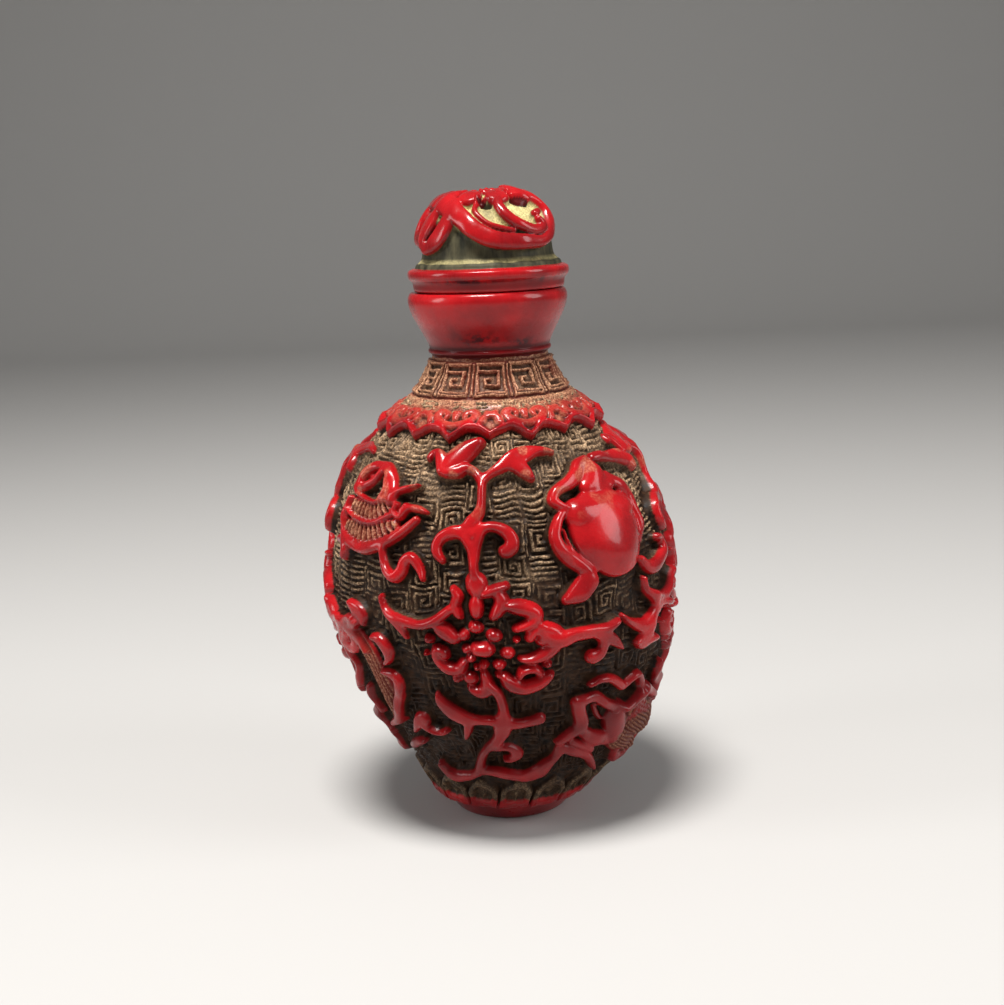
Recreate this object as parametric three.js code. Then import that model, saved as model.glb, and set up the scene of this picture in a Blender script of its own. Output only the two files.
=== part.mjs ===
// Carved red lacquer snuff bottle with a domed stopper. Millimetres, +Z up,
// origin at the centre of the foot's underside. Two pieces: the hollow bottle
// and the stopper that rests in its mouth.
//
// The carving is a height over a turned ground surface. A place on the body is
// (u, s): u is the distance round the belly in mm (angle times BELLY_UNIT, 0 at
// the front, -Y, growing towards +X) and s the distance along the profile in
// mm, 0 at the belly and growing upwards. Each motif is a short list of brush
// strokes [u, s, half width] in its own place, drawn round its own axis.

import * as THREE from 'three';

// ---- driving dimensions ----------------------------------------------------

const BELLY_UNIT = 21;          // radius that turns an angle into u
const BELLY_Z = 32;             // height where s = 0
const RELIEF = 1.35;            // height of scrolls, leaves and ribbons
const GOURD_RELIEF = 2.3;       // the gourd's bulb stands highest
const FAN_RELIEF = 2.6;         // the palm-leaf fan, low on the right
const CREST_EDGE = -0.35;       // where a stroke starts to fall, measured from its edge
const SIDE_FOOT = 0.95;         // and where its side reaches the ground

const FOOT_TOP_Z = 3.3;
const PETAL_TOP_Z = 8.4;
const PETAL_COUNT = 15;
const PETAL_RELIEF = 0.9;
const COLLAR_EDGE_Z = 52.4;     // lower edge of the collar, between its lappets
const COLLAR_TOP_Z = 56.5;
const COLLAR_RELIEF = 1.2;
const LAPPET_COUNT = 18;
const LAPPET_DROP = 2;          // how far a lappet's tip hangs below the edge

const MOUTH_Z = 69.8;
const BORE_RADIUS = 4.3;
const WALL = 3.6;               // from the ground surface to the hollow
const HOLLOW_FLOOR_Z = 7.5;

const REST_GAP = 0.3;           // between the stopper's flange and the mouth
const STOPPER_OFFSET = 0.25;    // the stopper sits a little to one side
const PLUG_RADIUS = 3.7;
const PLUG_LENGTH = 7.5;
const STOPPER_RELIEF = 1.0;

// Scroll axes and emblem columns alternate, four of each, a quarter turn apart.
const TURN = 2 * Math.PI * BELLY_UNIT;
const SCROLL_AXIS = -2.5;
const EMBLEM_COLUMN = 14;

// Facets round the carved body, round the plain turned parts and the hollow.
const CARVED_SIDES = 90;
const PLAIN_SIDES = 40;
const HOLLOW_SIDES = 20;
const BODY_ROWS = 36;

// Turned ground of foot, body, shoulder and neck: [height, radius].
const GROUND = [
  [0, 7.5], [1, 8.3], [2.2, 9.3], [3.3, 9.9], [6, 11.4], [9, 13.7], [12, 15.6], [15, 17.3], [18, 18.8],
  [22, 20.3], [26, 21.3], [30, 21.9], [34, 21.9], [38, 21.3], [42, 20.2], [46, 18.5], [49, 16.7],
  [51, 15.1], [52.5, 13.9], [54, 12.7], [55.5, 11.5], [57, 10.2], [58.5, 8.9], [60, 8.05], [61.2, 7.55],
];

// The cup-shaped mouth over the neck, then the rim and the bore: [height, radius].
const CUP = [
  [61.9, 7.9], [62.8, 7.95], [64.6, 8.7], [66.6, 9.8], [68.3, 10.4], [69.3, 10.35], [MOUTH_Z, 9.9],
];

// The body was moulded a little askew: [height, shift towards +X].
const SWAY = [[0, 0.3], [10, 1.5], [20, 0.7], [34, 0.1], [48, -0.5], [61, 0], [90, 0]];

// ---- surface of revolution with its own (u, s) -----------------------------

const sampleProfile = (points, count) =>
  new THREE.SplineCurve(points.map(([z, r]) => new THREE.Vector2(r, z))).getPoints(count);

function interpolate(table, x) {
  const next = table.findIndex(([key]) => key >= x);
  if (next <= 0) return table[next === 0 ? 0 : table.length - 1][1];
  const [[x0, y0], [x1, y1]] = [table[next - 1], table[next]];
  return y0 + (y1 - y0) * THREE.MathUtils.smoothstep(x, x0, x1);
}

const sway = (z) => interpolate(SWAY, z);

/** Ground stations, each with radius, height, distance s and outward normal. */
function groundStations() {
  const points = sampleProfile(GROUND, 480);
  const stations = [];
  let distance = 0;
  points.forEach((p, i) => {
    const before = points[Math.max(i - 1, 0)];
    const after = points[Math.min(i + 1, points.length - 1)];
    if (i > 0) distance += p.distanceTo(before);
    const tangent = after.clone().sub(before).normalize();
    stations.push({ r: p.x, z: p.y, s: distance, nr: tangent.y, nz: -tangent.x });
  });
  const belly = stations.find((station) => station.z >= BELLY_Z).s;
  stations.forEach((station) => { station.s -= belly; });
  return stations;
}

const STATIONS = groundStations();

function stationAt(key, value) {
  const i = Math.max(1, STATIONS.findIndex((station) => station[key] >= value));
  const [a, b] = [STATIONS[i - 1], STATIONS[i]];
  const t = (value - a[key]) / (b[key] - a[key]);
  const mix = (name) => THREE.MathUtils.lerp(a[name], b[name], t);
  return { r: mix('r'), z: mix('z'), s: mix('s'), nr: mix('nr'), nz: mix('nz') };
}

// ---- brush strokes ---------------------------------------------------------

const stroke = (points, height = RELIEF) => ({ points, height });
const bead = (u, s, radius, height = RELIEF) => stroke([[u - 0.1, s, radius], [u + 0.1, s, radius]], height);

/** Moves strokes drawn round their own axis to u = axis. */
const placed = (strokes, axis) => strokes.map(({ points, height }) =>
  ({ height, points: points.map(([u, s, w]) => [u + axis, s, w]) }));

/** A scrolling stem with its leaves above, round and below one lotus flower. */
function flowerScroll() {
  const upper = [
    stroke([[1.4, 16.7, 0.45], [1.3, 14.4, 0.4], [1.2, 11.7, 0.5]]),
    stroke([[0.9, 12.4, 0.5], [0, 11, 0.6], [-0.5, 9.8, 0.3]]),
    stroke([[1.4, 16.7, 0.45], [0.3, 17.6, 0.5], [-0.9, 18, 0.5], [-2, 17.3, 0.5]]),
    stroke([[-4.4, 18, 1.2], [-2.6, 19.3, 1.6], [-0.4, 20.4, 1.3], [2, 21.9, 0.9]]),
    stroke([[-4.8, 18.4, 0.8], [-5.6, 20.3, 0.5], [-6.8, 20.5, 0.5], [-7.4, 19.8, 0.45], [-7, 18.9, 0.4]]),
    stroke([[1.5, 16.6, 0.45], [4.5, 18.2, 0.8], [6.6, 18.7, 1.2], [10.5, 19.9, 0.6], [12.4, 19.7, 0.3]]),
    stroke([[6.6, 18.3, 0.9], [7.3, 17.2, 0.7], [7.6, 16.4, 0.4]]),
    stroke([[0.1, 9.2, 0.7], [-1.5, 10, 0.6], [-4.2, 9.8, 0.5], [-4.5, 8.4, 0.5], [-3.8, 7.1, 0.45]]),
    stroke([[0.1, 9.2, 0.7], [1.2, 10.7, 0.7], [3.8, 9.8, 0.75], [4.4, 8.6, 0.7], [3.9, 7.6, 0.8]]),
    stroke([[0.1, 9.2, 0.8], [-0.3, 7.5, 0.5], [-0.4, 5.5, 0.45], [-0.3, 3.8, 0.55]]),
  ];
  const branches = [
    stroke([[6.9, -2, 0.9], [8.1, -3.4, 1], [10.5, -3, 0.7], [12.9, -3, 0.8], [16.1, -2.3, 0.4]]),
    stroke([[14.1, -3.6, 0.9], [15.7, -4.8, 0.7], [16.7, -6, 0.3]]),
    stroke([[14.3, -4.6, 0.6], [13.9, -6, 0.6], [12.7, -6.5, 0.9]]),
    stroke([[-12, 1.7, 0.35], [-11.5, 0.2, 0.5], [-9.7, -0.4, 0.65], [-7.2, -0.3, 0.5], [-3.4, 0.7, 0.5]]),
    stroke([[-9.7, -0.8, 0.6], [-9.2, -2.1, 0.5], [-9, -2.9, 0.3]]),
  ];
  const lower = [
    stroke([[0.3, -8.5, 0.5], [1.2, -10.2, 0.5], [1.6, -12.5, 0.55], [1.4, -14.6, 1.1], [1, -16.3, 0.8]]),
    stroke([[1, -16.3, 0.8], [-0.3, -18.1, 0.6], [-2, -19.6, 0.5], [-3.2, -21.7, 0.5], [-4, -23.3, 0.6]]),
    stroke([[1.5, -14.6, 0.9], [4.1, -14.8, 0.75], [6.1, -14.4, 0.75]]),
    stroke([[1, -14.8, 0.7], [-0.7, -14.4, 0.5], [-4.3, -13.7, 1.1], [-5.7, -12.3, 0.9], [-6.3, -10.8, 0.3]]),
    stroke([[-3, -14.6, 0.6], [-4.15, -16.7, 0.35]]),
    stroke([[-12.4, -16.9, 0.4], [-10.3, -15.2, 0.95], [-9.2, -16.3, 0.4], [-7, -16.5, 0.4]]),
    stroke([[-0.3, -19, 0.5], [1.5, -19.2, 0.5], [2.3, -20.4, 0.7], [1.5, -21.3, 0.5]]),
    stroke([[-3.8, -23.7, 0.6], [1.8, -24.5, 0.9], [4.5, -24.6, 1], [6.9, -23.1, 0.8], [9.7, -20, 0.5]]),
    stroke([[-3.8, -23.7, 0.6], [-5.3, -24.4, 0.5], [-8.2, -25.4, 0.8], [-10.9, -25, 0.7], [-11.7, -23.3, 0.4]]),
  ];
  return [...upper, ...branches, ...lower, ...lotusFlower()];
}

/** Heart bead and a ring of eight petals. */
function lotusFlower() {
  const [heart, petals, inner, outer] = [-3.3, 8, 4, 5.9];
  const ringOfPetals = Array.from({ length: petals }, (_, k) => {
    const [x, y] = [Math.sin((2 * Math.PI * k) / petals), Math.cos((2 * Math.PI * k) / petals)];
    return stroke([[0.1 + inner * x, heart + inner * y, 0.75], [0.1 + outer * x, heart + outer * y, 0.9]]);
  });
  return [bead(0.1, heart, 1.5, RELIEF * 1.1), ...ringOfPetals];
}

function gourd() {
  return [
    stroke([[0, 12, 3.2], [0.3, 9.6, 5], [0.5, 7.2, 4.2], [0.6, 6, 2.6]], GOURD_RELIEF),
    stroke([[0.1, 14.4, 1.7], [0.3, 16, 1.5], [0.2, 17.4, 0.9]], GOURD_RELIEF * 0.8),
    stroke([[-0.4, 17.8, 0.5], [-1, 16.2, 0.55], [-5, 14.8, 0.5], [-6.6, 13.6, 0.55], [-5.4, 12.2, 0.5]]),
    stroke([[-5.2, 11.6, 0.45], [-7.4, 8.2, 0.6], [-6.4, 6.6, 0.5], [-3.2, 3.8, 0.6]]),
    stroke([[-3.4, 3.6, 0.9], [-4.4, 2.3, 1.3], [-6.4, 1.2, 0.5]]),
    stroke([[2.8, 15.6, 0.7], [4.6, 14, 0.7], [6, 12, 0.6], [6.3, 9.6, 0.5]]),
    stroke([[4.6, 3.6, 0.5], [6.4, 2.7, 0.9], [8.8, 2.9, 0.8], [10.2, 4.2, 0.6], [9.2, 5.3, 0.5]]),
    stroke([[2.2, 17.6, 0.5], [5.5, 17.8, 0.6], [9.5, 17, 0.8], [12, 16, 0.6]]),
  ];
}

function palmFan() {
  return [
    stroke([[3.5, -17.5, 2], [7.5, -17.8, 3], [11, -19.5, 3]], FAN_RELIEF),
    stroke([[-3.8, -10.2, 0.4], [0, -10.6, 0.6], [1.6, -11.8, 0.6], [3.8, -10.8, 0.5], [5.6, -13, 0.6]]),
    stroke([[3.8, -14.6, 0.6], [6, -13.8, 0.7], [8, -14.4, 0.8], [10.4, -16, 0.8]], FAN_RELIEF),
    stroke([[-5.4, -12.4, 0.7], [-2.8, -12.4, 0.6], [-0.8, -13.8, 0.6], [1, -14.9, 0.7]]),
    stroke([[-5, -12.8, 0.9], [-4.6, -14.8, 0.9], [-4.2, -16.8, 0.9], [-6, -17.8, 0.8], [-7.4, -18.6, 0.6]]),
    stroke([[1.2, -15.2, 1.2], [1.4, -17.6, 1.5], [2.4, -19.2, 1.6]], RELIEF * 1.4),
    stroke([[-4, -18, 0.8], [-1.6, -19.6, 1.2], [1, -20.4, 1.2]]),
    stroke([[-7.2, -20, 0.6], [-5.2, -21, 0.7], [-3.2, -22, 0.7], [-1, -24, 0.6], [0, -25.6, 0.4]]),
  ];
}

function flowerBasket() {
  return [
    stroke([[-1.5, 10.8, 1.8], [1.2, 10, 2.2], [4, 11, 1.4]], RELIEF * 0.6),
    stroke([[-2.5, 14.6, 0.5], [-1.3, 17.5, 0.65], [0.6, 18.4, 0.7], [4.1, 16.7, 0.7], [5.2, 13.6, 0.6]]),
    stroke([[-2.5, 14.7, 0.5], [-0.5, 15.2, 0.5], [1, 16.1, 0.5], [1.8, 17.3, 0.5]]),
    stroke([[-0.2, 13.4, 0.4], [1.8, 13, 0.4], [5.2, 13.6, 0.4]]),
    stroke([[-3.2, 12.3, 0.4], [-1.7, 11.1, 0.4], [1, 10.3, 0.45], [3.3, 10.9, 0.4], [5.6, 11.9, 0.4]]),
    stroke([[-3.4, 13.2, 0.4], [-3.8, 10.5, 0.45], [-3.2, 8.2, 0.7], [-2.8, 5.7, 0.5]]),
    stroke([[-3.2, 8, 0.7], [1.8, 7.5, 0.8], [3.7, 8.2, 0.75], [6, 9.2, 0.7], [9.1, 11.7, 0.5]]),
    stroke([[5.4, 15, 0.5], [6.8, 15.3, 0.45], [8.7, 15.9, 0.3]]),
    stroke([[7.2, 13, 0.4], [9.1, 13, 0.5], [10.4, 12.7, 0.3]]),
    stroke([[-5.5, 7.5, 0.4], [-4.2, 7.7, 0.9]]),
    stroke([[4.3, 7.65, 0.4], [4.5, 5.7, 0.5], [5.8, 4.2, 0.6], [7.2, 5, 0.5], [7.7, 6.7, 0.5]]),
    stroke([[7.7, 6.7, 0.5], [8.9, 7.5, 0.5], [9.8, 6.3, 0.5], [10.6, 4.6, 0.3]]),
  ];
}

function tasselledFlute() {
  return [
    stroke([[-1.5, -3.6, 1.2], [0.2, -6.5, 1.5], [0.8, -10, 1.5], [1.6, -13, 1.4], [1.4, -15.4, 1.1]]),
    stroke([[3.3, -3.7, 0.7], [4.1, -4.9, 0.9], [3.8, -6.3, 0.6]]),
    stroke([[3.3, -8.5, 0.5], [4.6, -9.3, 0.7], [3.4, -12, 0.6], [2.4, -14.8, 0.6], [0, -16.6, 0.6]]),
    stroke([[-3.5, -4.5, 0.7], [-5, -6.5, 0.6], [-4.5, -9, 0.6], [-5.5, -12, 0.5]]),
    stroke([[0.2, -20.8, 0.6], [2.9, -19.6, 0.6], [4.3, -19.2, 0.4]]),
  ];
}

function ribbonedSword() {
  return [
    stroke([[-4, 17, 0.4], [-1, 12.5, 0.9], [1.5, 8.5, 0.9]]),
    stroke([[0, 9.4, 0.6], [3, 7.4, 0.6]]),
    stroke([[1.6, 8.4, 0.6], [3, 6, 0.7], [3.4, 5.2, 0.9]]),
    stroke([[-2, 8, 0.5], [-5, 7, 0.6], [-6, 4.5, 0.5], [-3.5, 3, 0.7]]),
    stroke([[5, 14, 0.5], [7, 11, 0.6], [5.5, 8, 0.5], [8, 5.5, 0.7]]),
  ];
}

function pairOfClappers() {
  return [
    stroke([[-3, -8.5, 1.2], [0, -13, 1.2], [2.6, -17.5, 1.2]]),
    stroke([[3, -8.5, 1.1], [0.5, -13, 1.1], [-2.6, -17.5, 1.1]]),
    stroke([[4, -9, 0.5], [6, -12, 0.6], [5, -15, 0.5], [7.5, -18, 0.6]]),
    stroke([[-4, -9, 0.5], [-6.5, -12, 0.6], [-5.5, -15, 0.5], [-8, -18, 0.6]]),
  ];
}

function lotusPod() {
  const petals = [];
  for (const lean of [-2, -1, 0, 1, 2]) {
    petals.push(stroke([[lean * 0.5, 9.5, 0.8], [lean * 1.9, 12.5, 1], [lean * 2.6, 15 - Math.abs(lean) * 0.6, 0.5]]));
  }
  return [
    ...petals,
    stroke([[0, 9.5, 1.2], [-0.4, 7, 0.5], [0.6, 4.5, 0.5], [-0.6, 2.5, 0.6]]),
    stroke([[-0.4, 7, 0.5], [-3.5, 6.5, 0.9], [-6, 4.5, 0.5]]),
    stroke([[0.4, 5, 0.5], [4, 5.5, 0.9], [6.5, 7.5, 0.5]]),
  ];
}

function fishDrum() {
  return [
    stroke([[-2.2, -9.5, 1.5], [0, -13, 1.5], [2.2, -17, 1.5]]),
    stroke([[-2.6, -9, 0.5], [-4.6, -5.8, 0.6]]),
    stroke([[-1.6, -8.8, 0.5], [-1.4, -5.4, 0.6]]),
    stroke([[3, -9, 0.5], [6, -11, 0.6], [4.8, -13.5, 0.5], [7.4, -17, 0.7]]),
    stroke([[-4.4, -12, 0.5], [-6.4, -14.5, 0.6], [-4.6, -17, 0.5], [-6.6, -19.5, 0.6]]),
  ];
}

/** The forked leaf between two flowers; reach is how far its right arm runs. */
function forkedLeaf(shift, reach) {
  return [
    stroke([[shift - 5.2, -1.6, 0.4], [shift - 3.8, -3, 0.6], [shift - 2, -3.8, 0.8], [shift, -4, 0.9]]),
    stroke([[shift, -3.8, 0.9], [shift + 1.6, -2.4, 0.8], [shift + reach, -2.6, 0.6]]),
    stroke([[shift - 0.4, -4.2, 1], [shift - 1.2, -5.7, 1.3]]),
  ];
}

function bodyStrokes() {
  const quarter = TURN / 4;
  const columns = [
    [...gourd(), ...palmFan(), ...forkedLeaf(5.6, 5.4)],
    [...ribbonedSword(), ...pairOfClappers(), ...forkedLeaf(1, 3)],
    [...lotusPod(), ...fishDrum(), ...forkedLeaf(1, 3)],
    [...flowerBasket(), ...tasselledFlute(), ...forkedLeaf(1.4, 2)],
  ];
  return columns.flatMap((column, k) => [
    ...placed(flowerScroll(), SCROLL_AXIS + k * quarter),
    ...placed(column, EMBLEM_COLUMN + k * quarter),
  ]);
}

// ---- heights over the ground -----------------------------------------------

/** Signed distance from (u, s) to a stroke, with u shrunk to the true width there. */
function distanceToStroke({ points }, u, s, squeeze) {
  let best = Infinity;
  for (let i = 1; i < points.length; i += 1) {
    const [[u0, s0, w0], [u1, s1, w1]] = [points[i - 1], points[i]];
    const near = u - TURN * Math.round((u - (u0 + u1) / 2) / TURN);
    const [px, py] = [(near - u0) * squeeze, s - s0];
    const [dx, dy] = [(u1 - u0) * squeeze, s1 - s0];
    const t = THREE.MathUtils.clamp((px * dx + py * dy) / (dx * dx + dy * dy), 0, 1);
    best = Math.min(best, Math.hypot(px - t * dx, py - t * dy) - THREE.MathUtils.lerp(w0, w1, t));
  }
  return best;
}

function strokeHeight(strokes, u, s, squeeze) {
  return Math.max(0, ...strokes.map((one) => {
    const outside = distanceToStroke(one, u, s, squeeze);
    return one.height * (1 - THREE.MathUtils.smoothstep(outside, CREST_EDGE, SIDE_FOOT));
  }));
}

/** 0 on the middle line of each of count equal lappets round the body, 1 between two. */
const offMiddle = (angle, count) =>
  Math.abs(2 * THREE.MathUtils.euclideanModulo((angle * count) / (2 * Math.PI), 1) - 1);

/** The collar: a thick scalloped edge below, thinning out towards the neck. */
function collarHeight(angle, z) {
  const edge = COLLAR_EDGE_Z - LAPPET_DROP * (1 - offMiddle(angle, LAPPET_COUNT));
  const thinning = 1 - 0.8 * THREE.MathUtils.smoothstep(z, COLLAR_EDGE_Z + 0.5, COLLAR_TOP_Z);
  return COLLAR_RELIEF * thinning * THREE.MathUtils.smoothstep(z, edge - 0.3, edge + 0.3);
}

/** The ring of round-topped petals that rises from the foot. */
function petalHeight(angle, z) {
  const top = PETAL_TOP_Z - 2 * offMiddle(angle, PETAL_COUNT) ** 2;
  const rise = THREE.MathUtils.smoothstep(z, FOOT_TOP_Z + 0.1, FOOT_TOP_Z + 1);
  return PETAL_RELIEF * rise * (1 - THREE.MathUtils.smoothstep(z, top - 0.3, top + 0.7));
}

// ---- closed skins from rings -----------------------------------------------

/** A ring of sides points; place(angle) gives each one. A single point is a pole. */
function ring(sides, place) {
  return Array.from({ length: sides }, (_, k) => {
    const angle = (2 * Math.PI * k) / sides;
    return { angle, point: place(angle) };
  });
}

const turned = (sides, z, r, shift = sway) =>
  ring(sides, (angle) => [r * Math.sin(angle) + shift(z), -r * Math.cos(angle), z]);

const pole = (z, shift = sway) => ring(1, () => [shift(z), 0, z]);

const gap = (a, b) => Math.hypot(a[0] - b[0], a[1] - b[1], a[2] - b[2]);

/** Joins each ring to the next, whatever their counts, into one closed mesh. */
function skin(rings) {
  const positions = [];
  const indices = [];
  const starts = rings.map((one) => {
    const start = positions.length / 3;
    one.forEach(({ point }) => positions.push(...point));
    return start;
  });
  for (let i = 1; i < rings.length; i += 1) {
    const [low, high] = [rings[i - 1], rings[i]];
    const lowAt = (k) => starts[i - 1] + (k % low.length);
    const highAt = (k) => starts[i] + (k % high.length);
    const [lowSteps, highSteps] = [low, high].map((one) => (one.length > 1 ? one.length : 0));
    let [a, b] = [0, 0];
    while (a < lowSteps || b < highSteps) {
      const [lowTurn, highTurn] = [(a + 1) / (lowSteps || 1), (b + 1) / (highSteps || 1)];
      let stepLow = b >= highSteps || (a < lowSteps && lowTurn < highTurn);
      if (a < lowSteps && b < highSteps && lowSteps === highSteps && lowTurn === highTurn) {
        // Equal rings: take the shorter diagonal, which keeps the carving's edges.
        const one = gap(low[(a + 1) % low.length].point, high[b % high.length].point);
        const other = gap(low[a % low.length].point, high[(b + 1) % high.length].point);
        stepLow = one <= other;
      }
      if (stepLow) {
        indices.push(lowAt(a), lowAt(a + 1), highAt(b));
        a += 1;
      } else {
        indices.push(lowAt(a), highAt(b + 1), highAt(b));
        b += 1;
      }
    }
  }
  const geometry = new THREE.BufferGeometry();
  geometry.setAttribute('position', new THREE.Float32BufferAttribute(positions, 3));
  geometry.setIndex(indices);
  geometry.computeVertexNormals();
  return geometry;
}

// ---- the bottle ------------------------------------------------------------

function carvedRing(strokes, s) {
  const station = stationAt('s', s);
  return ring(CARVED_SIDES, (angle) => {
    const lift = Math.max(
      strokeHeight(strokes, angle * BELLY_UNIT, s, station.r / BELLY_UNIT),
      collarHeight(angle, station.z),
      petalHeight(angle, station.z),
    );
    const r = station.r + lift * station.nr;
    const z = station.z + lift * station.nz;
    return [r * Math.sin(angle) + sway(z), -r * Math.cos(angle), z];
  });
}

function bottleGeometry() {
  const strokes = bodyStrokes();
  const rings = [pole(0)];
  for (const [z, r] of GROUND.slice(0, 4)) rings.push(turned(PLAIN_SIDES, z, r));
  const [first, last] = [stationAt('z', FOOT_TOP_Z + 0.6).s, stationAt('z', COLLAR_TOP_Z - 0.4).s];
  const rowGap = (last - first) / (BODY_ROWS - 1);
  for (let row = 0; row < BODY_ROWS; row += 1) {
    rings.push(carvedRing(strokes, first + rowGap * row));
  }
  for (const z of [COLLAR_TOP_Z + 0.3, 58.6, 60, 61]) rings.push(turned(PLAIN_SIDES, z, stationAt('z', z).r));
  for (const [z, r] of CUP) rings.push(turned(PLAIN_SIDES, z, r));
  for (const z of [MOUTH_Z, 61, 53]) rings.push(turned(HOLLOW_SIDES, z, BORE_RADIUS));
  for (const z of [50, 47, 42, 36, 30, 24, 18, 13, 9.5]) {
    rings.push(turned(HOLLOW_SIDES, z, stationAt('z', z).r - WALL - shoulderExtra(z)));
  }
  rings.push(turned(HOLLOW_SIDES, HOLLOW_FLOOR_Z, 5));
  rings.push(pole(HOLLOW_FLOOR_Z));
  return skin(rings);
}

/** The wall is thicker where the hollow closes in towards neck and foot. */
function shoulderExtra(z) {
  const towardsNeck = THREE.MathUtils.smoothstep(z, 40, 50);
  const towardsFoot = 1 - THREE.MathUtils.smoothstep(z, 9, 20);
  return 3 * towardsNeck + 1.5 * towardsFoot;
}

// ---- the stopper -----------------------------------------------------------

const FLANGE_Z = MOUTH_Z + REST_GAP;

// Plug, flange and ledge, then the plain dome under its scrolls: [height, radius].
const FLANGE = [
  [FLANGE_Z - PLUG_LENGTH, PLUG_RADIUS - 0.4], [FLANGE_Z - PLUG_LENGTH + 1, PLUG_RADIUS], [FLANGE_Z, PLUG_RADIUS],
  [FLANGE_Z, 9.8], [70.9, 10.1], [71.2, 10.55], [72.2, 10.65], [72.7, 10.3], [72.9, 9.5],
];
const DOME = [
  [73.5, 9.15], [74.4, 8.4], [75.4, 8.3], [76.4, 8.2], [77.4, 7.9], [78.4, 7.4], [79.3, 6.6], [80.1, 5.6],
  [80.8, 4.3], [81.3, 2.9], [81.6, 1.5],
];
const DOME_TOP = 81.7;

/** Ribbons over the dome: [angle in degrees, height, half width]. */
function domeStrokes() {
  return [
    stroke([[-58, 79.8, 0.8], [-72, 78.2, 0.8], [-68, 76.2, 0.8], [-52, 75.6, 0.8], [-36, 77.4, 0.8]]),
    stroke([[-62, 81.2, 1.2], [-36, 79.4, 1], [-12, 77.2, 0.8], [16, 76, 0.8], [46, 76, 0.8], [66, 77.2, 0.8]]),
    stroke([[66, 77.2, 0.8], [88, 79.2, 0.9], [98, 80.8, 1.2]]),
    stroke([[24, 81.4, 0.7], [22, 79.6, 0.6], [32, 77.9, 0.6], [50, 77.4, 0.5], [60, 78.4, 0.5]]),
    stroke([[-62, 81.2, 1.2], [-150, 81.4, 1.4], [98, 80.8, 1.3]]),
    stroke([[98, 80.8, 1.2], [112, 78.4, 0.9], [132, 76.4, 0.8], [158, 76, 0.8], [182, 77.4, 0.8], [196, 80, 1]]),
    stroke([[196, 80, 1], [214, 77.4, 0.8], [240, 76, 0.8], [268, 76.8, 0.8], [276, 79, 0.9], [298, 81.2, 1.2]]),
    stroke([[150, 79.8, 0.6], [160, 78.4, 0.6], [174, 79.4, 0.5]]),
  ];
}

/** A place on the plain dome at that angle and height. */
function domePlace(degrees, z) {
  const around = THREE.MathUtils.degToRad(degrees);
  const r = interpolate([...DOME, [DOME_TOP, 0]], z);
  return new THREE.Vector3(r * Math.sin(around), -r * Math.cos(around), z);
}

/** Stepping stones [place, half width] along a ribbon, close enough to read as one band. */
function ribbonStones({ points }) {
  const stones = [];
  for (let i = 1; i < points.length; i += 1) {
    for (let t = 0; t <= 1; t += 0.1) {
      const [degrees, z, half] = [0, 1, 2].map((n) => THREE.MathUtils.lerp(points[i - 1][n], points[i][n], t));
      stones.push([domePlace(degrees, z), half]);
    }
  }
  return stones;
}

function domeHeight(stones, place) {
  const outside = Math.min(...stones.map(([stone, half]) => stone.distanceTo(place) - half));
  return STOPPER_RELIEF * THREE.MathUtils.clamp(0.8 - outside / 0.8, 0, 1);
}

function stopperGeometry() {
  const aside = () => STOPPER_OFFSET;
  const stones = domeStrokes().flatMap(ribbonStones);
  const rings = [pole(FLANGE[0][0], aside)];
  FLANGE.forEach(([z, r], k) => rings.push(turned(k < 3 ? HOLLOW_SIDES : PLAIN_SIDES, z, r, aside)));
  DOME.forEach(([z, r], k) => {
    const [zBelow, rBelow] = DOME[Math.max(k - 1, 0)];
    const [zAbove, rAbove] = DOME[Math.min(k + 1, DOME.length - 1)];
    const normal = new THREE.Vector2(zAbove - zBelow, rBelow - rAbove).normalize();
    rings.push(ring(PLAIN_SIDES, (angle) => {
      const ground = new THREE.Vector3(r * Math.sin(angle), -r * Math.cos(angle), z);
      const lift = domeHeight(stones, ground);
      const out = r + lift * normal.x;
      return [out * Math.sin(angle) + STOPPER_OFFSET, -out * Math.cos(angle), z + lift * normal.y];
    }));
  });
  const crown = domeHeight(stones, new THREE.Vector3(0, 0, DOME_TOP));
  rings.push(ring(1, () => [STOPPER_OFFSET, 0, DOME_TOP + crown]));
  return skin(rings);
}

// ---- the part --------------------------------------------------------------

const lacquer = () => new THREE.MeshStandardMaterial({ color: 0xa81f26, roughness: 0.32, metalness: 0 });

function piece(name, geometry) {
  const mesh = new THREE.Mesh(geometry, lacquer());
  mesh.name = name;
  return mesh;
}

const group = new THREE.Group();
group.name = 'snuff_bottle';
group.add(piece('bottle', bottleGeometry()));
group.add(piece('stopper', stopperGeometry()));

export default group;
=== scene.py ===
"""Looks of a carved red lacquer snuff bottle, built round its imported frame.

Lengths are millimetres while a surface is worked out and metres in the finished
meshes. A place on the body is (u, s): u runs round the belly from the front, -Y,
towards +X, and s runs along the profile from the belly upwards.
"""
import math

import bpy
import numpy as np
from mathutils import Matrix, Vector


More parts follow.
